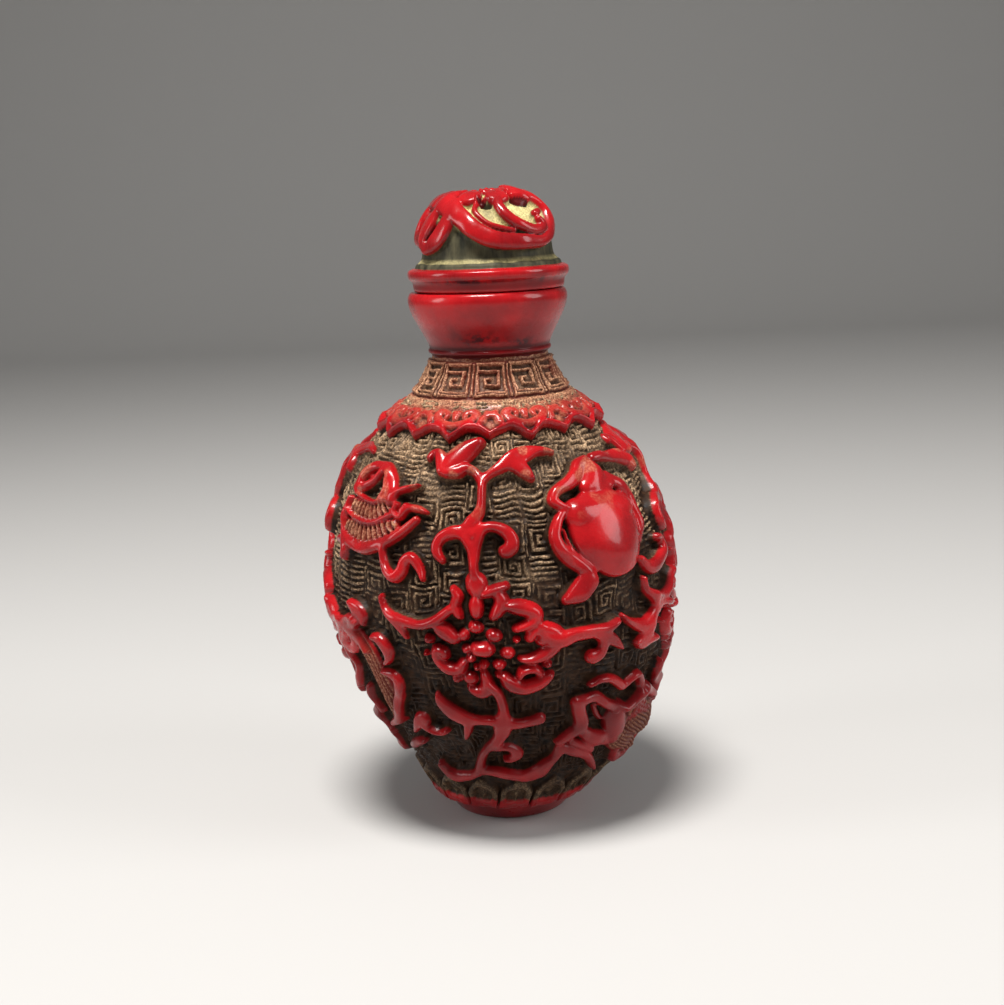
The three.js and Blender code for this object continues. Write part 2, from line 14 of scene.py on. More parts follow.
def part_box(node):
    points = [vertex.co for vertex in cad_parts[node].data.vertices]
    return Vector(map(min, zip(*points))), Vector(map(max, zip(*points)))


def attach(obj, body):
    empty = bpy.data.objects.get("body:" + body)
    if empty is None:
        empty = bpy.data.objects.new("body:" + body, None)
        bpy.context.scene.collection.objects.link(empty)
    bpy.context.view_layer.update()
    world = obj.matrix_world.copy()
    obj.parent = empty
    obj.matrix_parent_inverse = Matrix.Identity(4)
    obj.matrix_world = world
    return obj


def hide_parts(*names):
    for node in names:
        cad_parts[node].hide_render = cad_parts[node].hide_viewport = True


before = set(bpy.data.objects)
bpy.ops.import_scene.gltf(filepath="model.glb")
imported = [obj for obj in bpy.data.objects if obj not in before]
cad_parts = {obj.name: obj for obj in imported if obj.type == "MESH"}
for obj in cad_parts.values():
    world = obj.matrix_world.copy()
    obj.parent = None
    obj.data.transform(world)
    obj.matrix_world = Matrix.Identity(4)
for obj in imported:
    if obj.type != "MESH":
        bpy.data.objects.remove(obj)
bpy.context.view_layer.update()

bl_info = {
    "name": "Carved Lacquer Snuff Bottle",
    "version": (1, 0, 0),
    "blender": (4, 5, 0),
    "location": "View3D > Sidebar > Snuff Bottle",
    "description": "Carved body, collar, neck, foot, mouth and stopper of a red lacquer snuff bottle",
    "category": "Object",
}

MM = 0.001
BOTTLE_HIGH = np.array(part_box("bottle")[1]) / MM
STOPPER_LOW, STOPPER_HIGH = (np.array(corner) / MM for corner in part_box("stopper"))

# ---- sizes shared by the pieces --------------------------------------------

BELLY_UNIT = 21.0        # radius that turns an angle into u
BELLY_Z = 32.0           # height where s = 0
TURN = 2 * math.pi * BELLY_UNIT
SCROLL_AXIS = -2.5       # u of the flower at the front
EMBLEM_COLUMN = 14.0     # u of the gourd's column
QUARTER = TURN / 4

MOUTH_Z = BOTTLE_HIGH[2]
BORE_RADIUS = 4.3
FOOT_TOP_Z = 3.3
PETAL_TOP_Z = 8.6
COLLAR_TIP_Z = 51.6
COLLAR_TOP_Z = 56.3
NECK_TOP_Z = 61.6
WALL = 3.6
HOLLOW_FLOOR_Z = 7.5
CORE_RADIUS = 7.6        # solid core that foot and petals stand round
OVERLAP = 0.1            # how far pieces of the bottle run into each other
STOPPER_ASIDE = (STOPPER_LOW[0] + STOPPER_HIGH[0]) / 2
FLANGE_Z = MOUTH_Z + 0.08    # the flange's underside, just clear of the rim
PLUG_RADIUS = 3.7

# Turned ground of foot, body, shoulder and neck: (height, radius).
GROUND = [
    (0, 7.5), (1, 8.3), (2.2, 9.3), (3.3, 10.0), (6, 12.0), (9, 14.0), (12, 15.6), (15, 17.3), (18, 18.8),
    (22, 20.3), (26, 21.3), (30, 21.9), (34, 21.9), (38, 21.3), (42, 20.2), (46, 18.5), (49, 16.7),
    (51, 15.0), (52.5, 13.7), (54, 12.4), (55.5, 11.15), (57, 9.9), (58.5, 8.75), (60, 8.0), (61.2, 7.55),
    (62, 7.5),
]

# The body was moulded a little askew: (height, shift towards +X).
SWAY = [(0, 0.3), (10, 1.5), (20, 0.7), (34, 0.1), (48, -0.5), (61, 0), (90, 0)]


def smoothstep(low, high, x):
    """0 up to low and 1 from high, eased between; falls instead when low is the larger."""
    t = np.clip((np.asarray(x, float) - low) / (high - low), 0, 1)
    return t * t * (3 - 2 * t)


def line_at(x, place, width):
    """1 on a line at place, fading over width to both sides."""
    return np.exp(-((x - place) / width) ** 2)


def spline(points, steps):
    """Catmull-Rom through the rows of points, ends held, steps intervals per span."""
    p = np.asarray(points, float)
    padded = np.vstack([p[:1], p, p[-1:]])
    t = np.linspace(0, 1, steps, endpoint=False)[:, None]
    spans = []
    for a, b, c, d in zip(padded, padded[1:], padded[2:], padded[3:]):
        m0, m1 = (c - a) / 2, (d - b) / 2
        spans.append((2 * t**3 - 3 * t**2 + 1) * b + (t**3 - 2 * t**2 + t) * m0
                     + (3 * t**2 - 2 * t**3) * c + (t**3 - t**2) * m1)
    return np.vstack(spans + [p[-1:]])


def sway(z):
    """Shift towards +X at height z, eased between its stations."""
    heights, shifts = zip(*SWAY)
    z = np.asarray(z, float)
    k = np.clip(np.searchsorted(heights, z) - 1, 0, len(SWAY) - 2)
    low, high = np.array(heights)[k], np.array(heights)[k + 1]
    t = smoothstep(0, 1, (z - low) / (high - low))
    return np.array(shifts)[k] * (1 - t) + np.array(shifts)[k + 1] * t


def run_along(line):
    """Distance from a line's start to each of its points."""
    return np.concatenate([[0], np.cumsum(np.hypot(*np.diff(line, axis=0).T))])


GROUND_LINE = spline(GROUND, 24)
GROUND_S = run_along(GROUND_LINE)
GROUND_S -= np.interp(BELLY_Z, GROUND_LINE[:, 0], GROUND_S)


def s_of(z):
    """Place along the profile at height z."""
    return np.interp(z, GROUND_LINE[:, 0], GROUND_S)


def ground_at(s):
    """Height and radius of the ground at s."""
    return np.interp(s, GROUND_S, GROUND_LINE[:, 0]), np.interp(s, GROUND_S, GROUND_LINE[:, 1])


def ground_radius(z):
    """Radius of the ground at height z."""
    return np.interp(z, GROUND_LINE[:, 0], GROUND_LINE[:, 1])


def ground(s):
    """Height, radius and outward normal (up, out) of the ground at s."""
    step = 0.15
    (z_above, r_above), (z_below, r_below) = ground_at(s + step), ground_at(s - step)
    dz, dr = z_above - z_below, r_above - r_below
    length = np.hypot(dz, dr)
    return *ground_at(s), -dr / length, dz / length


# ---- noise and blur on the unrolled surface --------------------------------

def ripples(u, s, wavelength, seed, waves=14):
    """Smooth random height of about +-1 that closes on itself round the body."""
    rng = np.random.default_rng(seed)
    total = np.zeros(np.broadcast(u, s).shape)
    for _ in range(waves):
        heading = rng.uniform(0, math.pi)
        size = wavelength * rng.uniform(0.7, 1.5)
        around = round(TURN * math.cos(heading) / size) / BELLY_UNIT
        along = 2 * math.pi * math.sin(heading) / size
        total += np.sin(around * u + along * s + rng.uniform(0, 2 * math.pi))
    return total / math.sqrt(waves / 2)


def blurred(height, cells, closed=True):
    """Gaussian blur over so many cells; closed is for columns that close on themselves."""
    rows, columns = height.shape
    edge = int(3 * cells) + 1
    tall = np.pad(height, ((edge, edge), (0, 0)), mode="edge")
    if not closed:
        tall = np.pad(tall, ((0, 0), (edge, edge)), mode="edge")
    fy = np.fft.fftfreq(tall.shape[0])[:, None]
    fx = np.fft.fftfreq(tall.shape[1])[None, :]
    soft = np.exp(-2 * (math.pi * cells) ** 2 * (fx**2 + fy**2))
    out = np.real(np.fft.ifft2(np.fft.fft2(tall) * soft))
    out = out[edge:edge + rows]
    return out if closed else out[:, edge:edge + columns]


# ---- brush strokes ---------------------------------------------------------

RELIEF = 1.8             # height of scrolls, leaves and ribbons
SIDE = 0.30              # width of a stroke's steep side
SIDE_START = -0.06       # where the side starts to fall, just inside the stroke's edge
WOBBLE = 0.07            # how far the knife strays
FILLET = 0.4             # roundness where strokes run together
DRAWN_STRETCH = 1.03     # the strokes are drawn on a slightly longer s than the ground's
THINNEST = 0.2           # least half width of a stroke
CREST_SWELL = 0.06       # share by which crests rise and fall
RUBBING = 0.1            # how far handling has softened every edge


def stroke(points, height=RELIEF, form="round", lines=None):
    """A carved band: control points (u, s, half width), its height and its section.

    form is round or dome; lines is (direction, pitch, depth) for cut grooves.
    """
    return {"points": points, "height": height, "form": form, "lines": lines}


def bead(u, s, radius, height):
    """A small dome: a stroke that is hardly longer than a point."""
    return stroke([(u - 0.05, s, radius), (u + 0.05, s, radius)], height, "dome")


def placed(strokes, axis):
    """The same strokes, moved so that their u = 0 lies at axis."""
    return [dict(one, points=[(u + axis, s, w) for u, s, w in one["points"]]) for one in strokes]


def flower_scroll():
    """Scrolling stem with leaves above, beside and below one lotus flower."""
    upper = [
        stroke([(1.3, 17.0, 0.5), (1.2, 15.2, 0.48), (1.1, 13.7, 0.48), (0.7, 12.5, 0.62), (-0.1, 11.5, 0.75),
                (-0.8, 10.9, 0.55)]),
        stroke([(1.2, 16.9, 0.5), (0.4, 17.8, 0.52), (-0.9, 18.2, 0.62), (-2.1, 17.8, 0.75),
                (-3.5, 17.8, 0.8)]),
        stroke([(-3.7, 18.4, 1.1), (-2.9, 19.4, 1.5), (-1.8, 20.4, 1.45), (-0.7, 21.2, 1.15),
                (0.5, 21.9, 0.8)], 2.0, "dome"),
        stroke([(-4.2, 18.1, 0.8), (-4.9, 19.5, 0.7), (-5.6, 20.4, 0.52), (-6.5, 20.3, 0.45),
                (-6.9, 19.5, 0.36)]),
        stroke([(1.4, 17.0, 0.45), (2.4, 17.6, 0.52), (4.0, 18.3, 0.8), (5.7, 19.0, 1.15), (7.5, 19.7, 1.1),
                (9.4, 20.1, 0.7), (11.0, 20.0, 0.45), (12.3, 19.6, 0.25)]),
        stroke([(6.2, 18.4, 1.0), (7.3, 17.4, 0.75), (8.1, 16.4, 0.35)]),
        stroke([(-0.4, 10.3, 0.75), (-1.5, 10.4, 0.78), (-2.8, 10.3, 0.76), (-4.0, 9.7, 0.7),
                (-4.6, 8.6, 0.62), (-4.5, 7.5, 0.6), (-4.0, 6.8, 0.48)]),
        stroke([(-0.2, 9.9, 0.55), (0.9, 10.6, 0.62), (2.3, 10.9, 0.68), (3.6, 10.4, 0.72), (4.35, 9.4, 0.75),
                (4.2, 8.4, 0.8), (3.7, 7.9, 0.85)]),
        stroke([(-1.2, 9.8, 0.5), (-0.7, 8.6, 0.5), (-0.4, 7.4, 0.5), (-0.4, 6.0, 0.45), (-0.3, 5.0, 0.5)]),
        stroke([(0.8, 10.2, 0.5), (0.2, 8.8, 0.5), (-0.3, 7.4, 0.5)]),
    ]
    branches = [
        stroke([(6.7, -1.6, 0.8), (7.5, -2.8, 0.95), (9.0, -3.4, 0.95), (10.8, -3.1, 0.8), (12.9, -3.0, 0.8),
                (14.8, -2.9, 0.62), (16.2, -2.2, 0.38)]),
        stroke([(13.7, -3.4, 0.8), (15.0, -4.2, 0.85), (16.0, -5.1, 0.6), (16.8, -6.1, 0.22)]),
        stroke([(14.4, -4.2, 0.6), (14.3, -5.4, 0.6), (13.6, -6.2, 0.75), (12.7, -6.4, 0.92)]),
        stroke([(-12.1, 1.9, 0.32), (-11.6, 0.5, 0.5), (-9.8, -0.6, 0.7), (-7.4, -1.2, 0.55),
                (-5.4, -0.6, 0.5), (-3.4, 0.9, 0.5)]),
        stroke([(-10.0, -0.6, 0.65), (-9.5, -1.8, 0.55), (-9.0, -2.9, 0.25)]),
    ]
    lower = [
        stroke([(0.1, -8.6, 0.42), (1.0, -9.8, 0.5), (1.5, -11.4, 0.5), (1.65, -13.0, 0.55),
                (1.5, -14.4, 0.9), (1.2, -15.8, 1.05), (0.6, -17.0, 0.7), (-0.5, -18.3, 0.6),
                (-1.9, -19.6, 0.5), (-3.0, -21.3, 0.5), (-3.9, -23.3, 0.6)]),
        stroke([(1.5, -14.7, 0.9), (3.0, -14.9, 0.75), (4.8, -14.7, 0.75), (6.0, -14.4, 0.8)]),
        stroke([(1.2, -14.9, 0.8), (-0.2, -14.4, 0.6), (-1.8, -14.3, 0.65), (-3.6, -14.0, 1.0),
                (-5.2, -13.1, 1.05), (-6.2, -11.8, 0.75), (-6.6, -10.4, 0.22)]),
        stroke([(-3.0, -14.4, 0.6), (-3.6, -15.8, 0.55), (-4.2, -16.9, 0.3)]),
        stroke([(-12.6, -17.2, 0.35), (-11.6, -16.2, 0.6), (-10.5, -15.2, 0.95), (-9.9, -15.0, 0.9)]),
        stroke([(-10.2, -16.0, 0.5), (-9.2, -16.5, 0.42), (-7.8, -16.8, 0.4), (-6.8, -16.3, 0.35)]),
        stroke([(-0.5, -19.1, 0.5), (0.7, -18.9, 0.55), (1.8, -19.4, 0.6), (2.3, -20.4, 0.75),
                (1.6, -21.2, 0.5), (0.6, -21.3, 0.35)]),
        stroke([(-3.8, -23.6, 0.62), (-1.8, -23.9, 0.7), (0.6, -24.3, 0.85), (3.0, -24.8, 0.95),
                (5.2, -24.3, 0.95), (7.0, -23.0, 0.8), (8.6, -21.7, 0.5), (9.7, -20.0, 0.45)]),
        stroke([(-3.8, -23.7, 0.6), (-5.4, -24.6, 0.55), (-7.4, -25.2, 0.8), (-9.4, -25.4, 0.8),
                (-11.1, -24.7, 0.65), (-11.8, -23.2, 0.35)]),
    ]
    return upper + branches + lower + placed(lotus_flower(), -SCROLL_AXIS)


PETAL_FULLNESS = 1.12    # the flower's parts swell past the widths below
BEAD_FULLNESS = 1.08


def lotus_flower():
    """Heart, small beads and the hooked petals that curl round them; u counts from the front."""
    petals = [
        [(-2.8, 5.2, 0.5), (-2.75, 4.4, 0.98), (-2.7, 3.6, 0.95), (-2.7, 2.9, 0.5)],
        [(-2.75, 2.4, 0.45), (-2.75, 1.5, 0.78), (-2.75, 0.6, 0.66)],
        [(-5.3, 3.5, 0.4), (-4.9, 2.6, 0.62), (-5.2, 1.6, 0.55), (-5.1, 0.7, 0.6), (-4.8, 0.1, 0.4)],
        [(-2.0, 2.8, 0.36), (-1.0, 3.2, 0.66), (0.6, 3.7, 0.42)],
        [(-0.4, 3.0, 0.6), (0.1, 1.9, 0.8), (-0.3, 0.8, 0.72), (-0.9, 0.0, 0.42)],
        [(0.5, 1.4, 0.5), (2.0, 1.0, 0.9), (3.8, 0.1, 0.8), (3.2, -1.0, 0.7), (1.5, -1.7, 0.45)],
        [(-7.8, -0.7, 0.4), (-6.9, -1.6, 0.82), (-5.8, -2.6, 0.72)],
        [(2.9, -3.0, 0.5), (3.5, -1.9, 0.62), (5.0, -1.9, 0.85), (6.0, -3.1, 1.0), (4.9, -4.8, 0.85),
         (3.2, -5.6, 0.6), (1.7, -5.6, 0.36)],
        [(-6.9, -5.3, 0.34), (-7.0, -4.4, 0.44), (-7.8, -4.3, 0.6), (-8.0, -5.7, 0.66), (-7.0, -6.9, 0.78),
         (-5.7, -6.9, 0.7), (-5.0, -5.8, 0.45)],
        [(-2.8, -7.2, 0.36), (-2.6, -8.4, 0.6), (-2.7, -9.6, 0.85), (-3.6, -10.0, 0.75), (-4.6, -9.5, 0.42)],
        [(-0.6, -8.0, 0.5), (0.2, -9.1, 0.9), (1.9, -9.7, 0.9), (3.6, -9.3, 0.82), (4.9, -8.2, 0.5)],
        [(1.4, -8.0, 0.4), (1.9, -7.2, 0.5), (3.2, -7.0, 0.55), (3.8, -7.8, 0.4)],
    ]
    beads = [(-3.0, -1.3, 0.78), (-4.6, -2.3, 0.66), (-1.1, -2.4, 0.76), (-4.5, -4.1, 0.52),
             (-4.1, -5.3, 0.5), (0.2, -4.8, 0.72), (-0.9, -6.4, 0.62), (-2.6, -6.2, 0.46),
             (-3.5, -6.5, 0.36), (4.2, -3.4, 0.62), (4.7, -6.6, 0.5), (-4.5, -8.1, 0.84),
             (-6.1, -8.3, 0.54), (-8.6, -2.9, 0.56), (-1.1, -7.7, 0.4), (1.4, -3.1, 0.36),
             (-9.4, -4.9, 0.34)]
    full_petals = [[(u, s, PETAL_FULLNESS * half) for u, s, half in points] for points in petals]
    carving = [stroke(points, 1.75, "dome") for points in full_petals]
    carving += [bead(u, s, BEAD_FULLNESS * radius, 1.5) for u, s, radius in beads]
    heart = stroke([(-3.1, -4.1, 0.85), (-2.1, -4.2, 0.98)], 1.9, "dome")
    return carving + [heart]


def gourd():
    """Double gourd in its ribbon: a smooth high bulb, flat below, under a small one."""
    return [
        stroke([(0.3, 10.6, 3.4), (0.3, 9.6, 5.0), (0.6, 8.4, 4.9), (0.8, 7.2, 4.1),
                (0.8, 6.2, 3.0)], 2.7, "dome"),
        stroke([(-2.6, 11.2, 2.4), (0.4, 11.4, 2.4), (3.2, 11.2, 2.4)], 2.5, "dome"),
        stroke([(-0.4, 5.6, 2.0), (1.7, 5.6, 2.0)], 2.2, "dome"),
        stroke([(-1.0, 14.5, 0.8), (0.9, 14.8, 1.2), (2.9, 14.5, 0.8)], 1.9),
        stroke([(0.9, 14.9, 1.8), (0.9, 16.0, 1.5), (0.8, 17.2, 0.9)], 2.0),
        stroke([(0.6, 18.2, 0.5), (-0.6, 17.3, 0.9), (-1.7, 16.3, 0.85), (-3.1, 15.6, 0.8), (-4.6, 15.1, 0.7),
                (-5.8, 14.4, 0.65), (-6.3, 13.5, 0.6), (-5.7, 12.8, 0.55), (-4.9, 12.2, 0.5)], 2.0),
        stroke([(-5.1, 11.9, 0.5), (-6.3, 10.8, 0.6), (-7.1, 9.3, 0.7), (-6.8, 7.8, 0.85), (-5.8, 6.5, 0.9),
                (-4.7, 5.4, 0.85), (-3.7, 4.3, 0.75)]),
        stroke([(-5.7, 9.8, 0.16), (-5.5, 8.5, 0.22), (-4.7, 6.9, 0.24), (-3.5, 5.4, 0.24),
                (-2.4, 4.3, 0.2)], 1.4),
        stroke([(-3.8, 3.3, 1.35), (-5.1, 2.2, 1.35), (-6.5, 1.6, 0.7)], 1.9),
        stroke([(3.4, 15.5, 0.7), (4.8, 14.2, 0.8), (6.0, 12.6, 0.7), (6.3, 10.6, 0.6), (6.1, 8.6, 0.55),
                (5.3, 6.8, 0.5)]),
        stroke([(4.6, 4.3, 0.6), (5.6, 3.2, 0.8), (7.2, 2.9, 0.9), (9.0, 3.4, 0.9), (10.5, 4.5, 0.8),
                (10.2, 5.8, 0.6), (9.2, 6.2, 0.45)]),
        stroke([(2.6, 18.2, 0.65), (5.0, 18.1, 0.8), (8.0, 17.5, 0.95), (10.6, 16.7, 0.95),
                (11.0, 15.4, 0.5)]),
    ]


def palm_fan():
    """Broad leaf fan, thick and finely lined, with its handle loop and ribbons."""
    return [
        stroke([(1.6, -15.2, 1.0), (1.9, -16.6, 1.7), (2.2, -18.4, 1.9), (1.9, -20.2, 1.3)], 2.3, "dome"),
        stroke([(4.4, -16.0, 1.9), (7.4, -17.7, 3.0), (10.4, -19.4, 3.3), (13.0, -21.0, 2.4)], 2.7, "dome",
               ("along", 0.52, 0.2)),
        stroke([(2.6, -19.9, 1.1), (4.8, -21.2, 2.1), (7.6, -22.6, 2.2), (10.0, -23.8, 1.5)], 2.3, "dome",
               ("along", 0.52, 0.2)),
        stroke([(-3.9, -10.2, 0.35), (-2.6, -9.9, 0.5), (-1.0, -10.1, 0.55), (0.4, -10.8, 0.6),
                (1.6, -11.7, 0.6), (2.8, -11.2, 0.5), (3.9, -10.8, 0.5), (4.9, -11.7, 0.6),
                (5.6, -13.0, 0.6)]),
        stroke([(1.0, -15.0, 0.5), (2.6, -15.1, 0.5), (4.2, -14.5, 0.6), (5.6, -13.5, 0.8), (6.6, -13.2, 0.8),
                (8.4, -14.3, 0.7), (10.6, -16.0, 0.6)], 2.5),
        stroke([(-5.3, -12.5, 0.75), (-4.0, -12.3, 0.7), (-2.6, -12.5, 0.65), (-1.2, -13.5, 0.65),
                (0.2, -14.4, 0.7), (1.4, -15.1, 0.7)]),
        stroke([(-5.1, -12.8, 0.85), (-4.8, -14.4, 0.85), (-4.4, -15.9, 0.9), (-4.7, -17.1, 0.9),
                (-6.0, -17.9, 0.8), (-7.5, -18.8, 0.6)]),
        stroke([(-4.4, -17.4, 0.8), (-2.8, -18.6, 0.9), (-1.2, -19.6, 1.1), (1.0, -20.3, 1.1)], 1.9),
        stroke([(-2.4, -14.2, 0.3), (-1.6, -15.6, 0.35), (-0.6, -16.8, 0.3)], 0.9),
        stroke([(-7.2, -20.0, 0.6), (-5.4, -21.0, 0.7), (-3.4, -21.9, 0.75), (-1.4, -23.3, 0.65),
                (0.2, -25.4, 0.35)]),
        stroke([(-5.6, -19.2, 0.5), (-3.6, -20.2, 0.55), (-2.0, -21.2, 0.5)]),
    ]


def flower_basket():
    """Round-handled basket with two plaited bands and fluttering ribbons."""
    return [
        stroke([(-2.6, 12.7, 0.8), (-1.0, 12.2, 1.1), (1.2, 12.0, 1.2), (3.4, 12.4, 1.1), (5.0, 13.2, 0.7)],
               1.6, "round", ("across", 0.74, 0.5)),
        stroke([(-3.2, 9.9, 0.9), (-1.2, 9.4, 1.2), (1.4, 9.2, 1.35), (3.6, 9.7, 1.2), (5.8, 10.8, 0.7)],
               1.7, "round", ("across", 0.80, 0.5)),
        stroke([(-2.6, 14.4, 0.45), (-2.3, 15.8, 0.55), (-1.6, 17.1, 0.62), (-0.3, 18.1, 0.68),
                (1.4, 18.3, 0.7), (2.9, 17.7, 0.7), (4.1, 16.6, 0.7), (4.8, 15.2, 0.65),
                (5.2, 13.7, 0.6)]),
        stroke([(-2.5, 14.7, 0.5), (-1.2, 14.8, 0.5), (0.1, 15.5, 0.5), (1.1, 16.4, 0.55),
                (1.7, 17.5, 0.55)]),
        bead(-0.6, 16.4, 0.55, 1.1),
        stroke([(3.5, 16.2, 0.35), (3.7, 15.0, 0.4), (3.2, 14.0, 0.35)]),
        stroke([(-2.2, 14.0, 0.3), (-0.3, 13.6, 0.32), (0.8, 13.4, 0.32), (2.2, 13.4, 0.34),
                (3.8, 13.8, 0.36), (5.3, 14.2, 0.4)], 1.7),
        stroke([(-3.6, 12.0, 0.3), (-2.4, 11.3, 0.34), (-1.0, 10.8, 0.36), (1.0, 10.6, 0.38),
                (3.2, 11.0, 0.38), (5.6, 12.2, 0.36)], 1.7),
        stroke([(-3.4, 13.3, 0.3), (-3.8, 11.8, 0.32), (-4.0, 10.2, 0.36), (-3.6, 8.6, 0.6)]),
        stroke([(-3.3, 8.3, 0.65), (-1.8, 7.8, 0.75), (0.2, 7.6, 0.8), (2.0, 7.6, 0.8), (3.8, 8.2, 0.75),
                (5.8, 9.1, 0.7), (7.5, 10.5, 0.6), (9.0, 11.7, 0.45)], 1.7),
        stroke([(-3.1, 8.0, 0.7), (-2.6, 6.8, 0.65), (-2.8, 5.7, 0.45)]),
        stroke([(5.2, 14.6, 0.5), (6.3, 15.2, 0.45), (7.5, 15.5, 0.4), (8.8, 16.0, 0.22)]),
        stroke([(7.1, 12.6, 0.4), (8.2, 13.1, 0.45), (9.4, 13.0, 0.45), (10.6, 12.6, 0.2)]),
        stroke([(6.2, 13.3, 0.36), (5.8, 12.4, 0.36), (6.6, 11.8, 0.36), (7.4, 12.5, 0.36),
                (7.6, 13.4, 0.3)]),
        stroke([(-6.0, 7.3, 0.35), (-5.2, 7.7, 0.6), (-4.2, 7.7, 0.9)], 1.4, "dome"),
        stroke([(4.5, 7.7, 0.4), (4.8, 6.3, 0.5), (5.4, 5.1, 0.62), (6.4, 4.5, 0.68), (7.3, 5.3, 0.6),
                (7.8, 6.5, 0.62), (8.7, 7.1, 0.68), (9.5, 6.1, 0.62), (10.2, 4.5, 0.3)]),
    ]


def tasselled_flute():
    """Flute laid across its cords, with a tassel and ribbons."""
    return [
        stroke([(-2.2, -3.2, 1.0), (-0.6, -5.4, 1.4), (0.6, -8.2, 1.6), (1.2, -11.0, 1.6), (1.6, -13.4, 1.4),
                (1.4, -15.6, 1.0)], 1.7, "dome", ("along", 0.5, 0.35)),
        stroke([(-1.4, 0.2, 0.5), (-0.4, -0.5, 0.95), (0.6, -1.2, 0.85), (0.9, -2.2, 0.3)], 1.6),
        stroke([(2.4, -3.6, 0.4), (3.4, -3.8, 0.7), (4.1, -4.9, 0.8), (4.1, -6.1, 0.6), (3.4, -6.9, 0.4)]),
        stroke([(2.6, -8.3, 0.4), (3.8, -8.5, 0.6), (4.6, -9.4, 0.7), (4.1, -10.9, 0.65), (3.2, -12.6, 0.6),
                (2.5, -14.5, 0.6), (1.4, -16.0, 0.6), (-0.6, -17.2, 0.5)]),
        stroke([(-3.4, -4.4, 0.6), (-4.8, -6.0, 0.65), (-4.9, -7.8, 0.55), (-4.3, -9.3, 0.6),
                (-5.0, -11.0, 0.6), (-6.0, -12.4, 0.35)]),
        stroke([(-2.4, -11.8, 0.5), (-2.8, -13.6, 0.6), (-1.8, -15.2, 0.5)]),
        stroke([(0.0, -20.9, 0.55), (1.4, -20.2, 0.6), (2.9, -19.6, 0.6), (4.4, -19.2, 0.35)]),
        stroke([(-4.6, -15.6, 0.5), (-6.2, -17.0, 0.7), (-6.6, -18.8, 0.6), (-5.2, -20.0, 0.5)]),
    ]


def ribboned_sword():
    """Sword at a slant, with lined blade and wrapped hilt, in its ribbons."""
    return [
        stroke([(-4.4, 17.8, 0.3), (-2.6, 14.8, 0.8), (-0.4, 11.6, 0.85), (1.3, 9.2, 0.85)], 1.5, "round",
               ("along", 0.85, 0.2)),
        stroke([(-0.4, 9.9, 0.5), (1.2, 8.6, 0.65), (3.1, 7.5, 0.5)]),
        stroke([(1.6, 8.4, 0.6), (2.6, 6.7, 0.62), (3.3, 5.4, 0.85)], 1.5, "round", ("across", 0.7, 0.3)),
        stroke([(-1.6, 8.4, 0.4), (-3.4, 8.2, 0.5), (-4.9, 7.2, 0.55), (-5.6, 5.4, 0.5), (-4.6, 4.0, 0.55),
                (-3.2, 3.2, 0.6)]),
        stroke([(3.6, 15.6, 0.4), (5.2, 14.4, 0.5), (6.6, 12.6, 0.55), (6.2, 10.6, 0.5), (6.6, 8.6, 0.5),
                (7.9, 7.0, 0.6), (7.6, 5.2, 0.4)]),
        stroke([(-6.4, 14.6, 0.5), (-5.6, 12.4, 0.6), (-6.4, 10.4, 0.4)]),
    ]


def pair_of_clappers():
    """Two clapper boards crossed, with a ribbon at each side."""
    return [
        stroke([(-3.2, -8.2, 0.9), (-1.4, -11.4, 1.15), (0.6, -14.6, 1.2), (2.6, -17.8, 1.1)]),
        stroke([(3.2, -8.4, 0.9), (1.4, -11.4, 1.1), (-0.6, -14.6, 1.1), (-2.6, -17.6, 1.0)], 1.6),
        stroke([(3.8, -8.6, 0.4), (5.4, -9.8, 0.55), (6.2, -11.6, 0.5), (5.4, -13.4, 0.5), (6.0, -15.4, 0.5),
                (7.4, -17.0, 0.6)]),
        stroke([(-3.8, -8.6, 0.4), (-5.6, -9.6, 0.55), (-6.8, -11.4, 0.5), (-6.0, -13.4, 0.5),
                (-6.6, -15.4, 0.5), (-8.0, -17.0, 0.6)]),
        stroke([(-1.6, -20.2, 0.4), (0.2, -21.0, 0.6), (2.2, -20.4, 0.5)]),
    ]


def lotus_pod():
    """Upright lotus: five petals on a stem with two leaves."""
    petals = [
        stroke([(lean * 0.5, 9.6, 0.6), (lean * 1.5, 11.6, 1.0), (lean * 2.3, 13.6, 0.95),
                (lean * 2.5, 15.6 - abs(lean) * 0.7, 0.3)], 1.9 - 0.15 * abs(lean))
        for lean in (-2, 2, -1, 1, 0)
    ]
    return petals + [
        stroke([(0.0, 9.8, 1.1), (-0.3, 8.0, 0.6), (-0.4, 6.4, 0.5), (0.4, 4.6, 0.5), (-0.4, 2.6, 0.6)]),
        stroke([(-0.4, 7.2, 0.4), (-2.2, 7.2, 0.7), (-4.0, 6.4, 0.95), (-6.0, 4.6, 0.3)], 1.7),
        stroke([(0.4, 5.2, 0.4), (2.4, 5.2, 0.7), (4.4, 6.0, 0.95), (6.6, 7.8, 0.3)], 1.7),
    ]


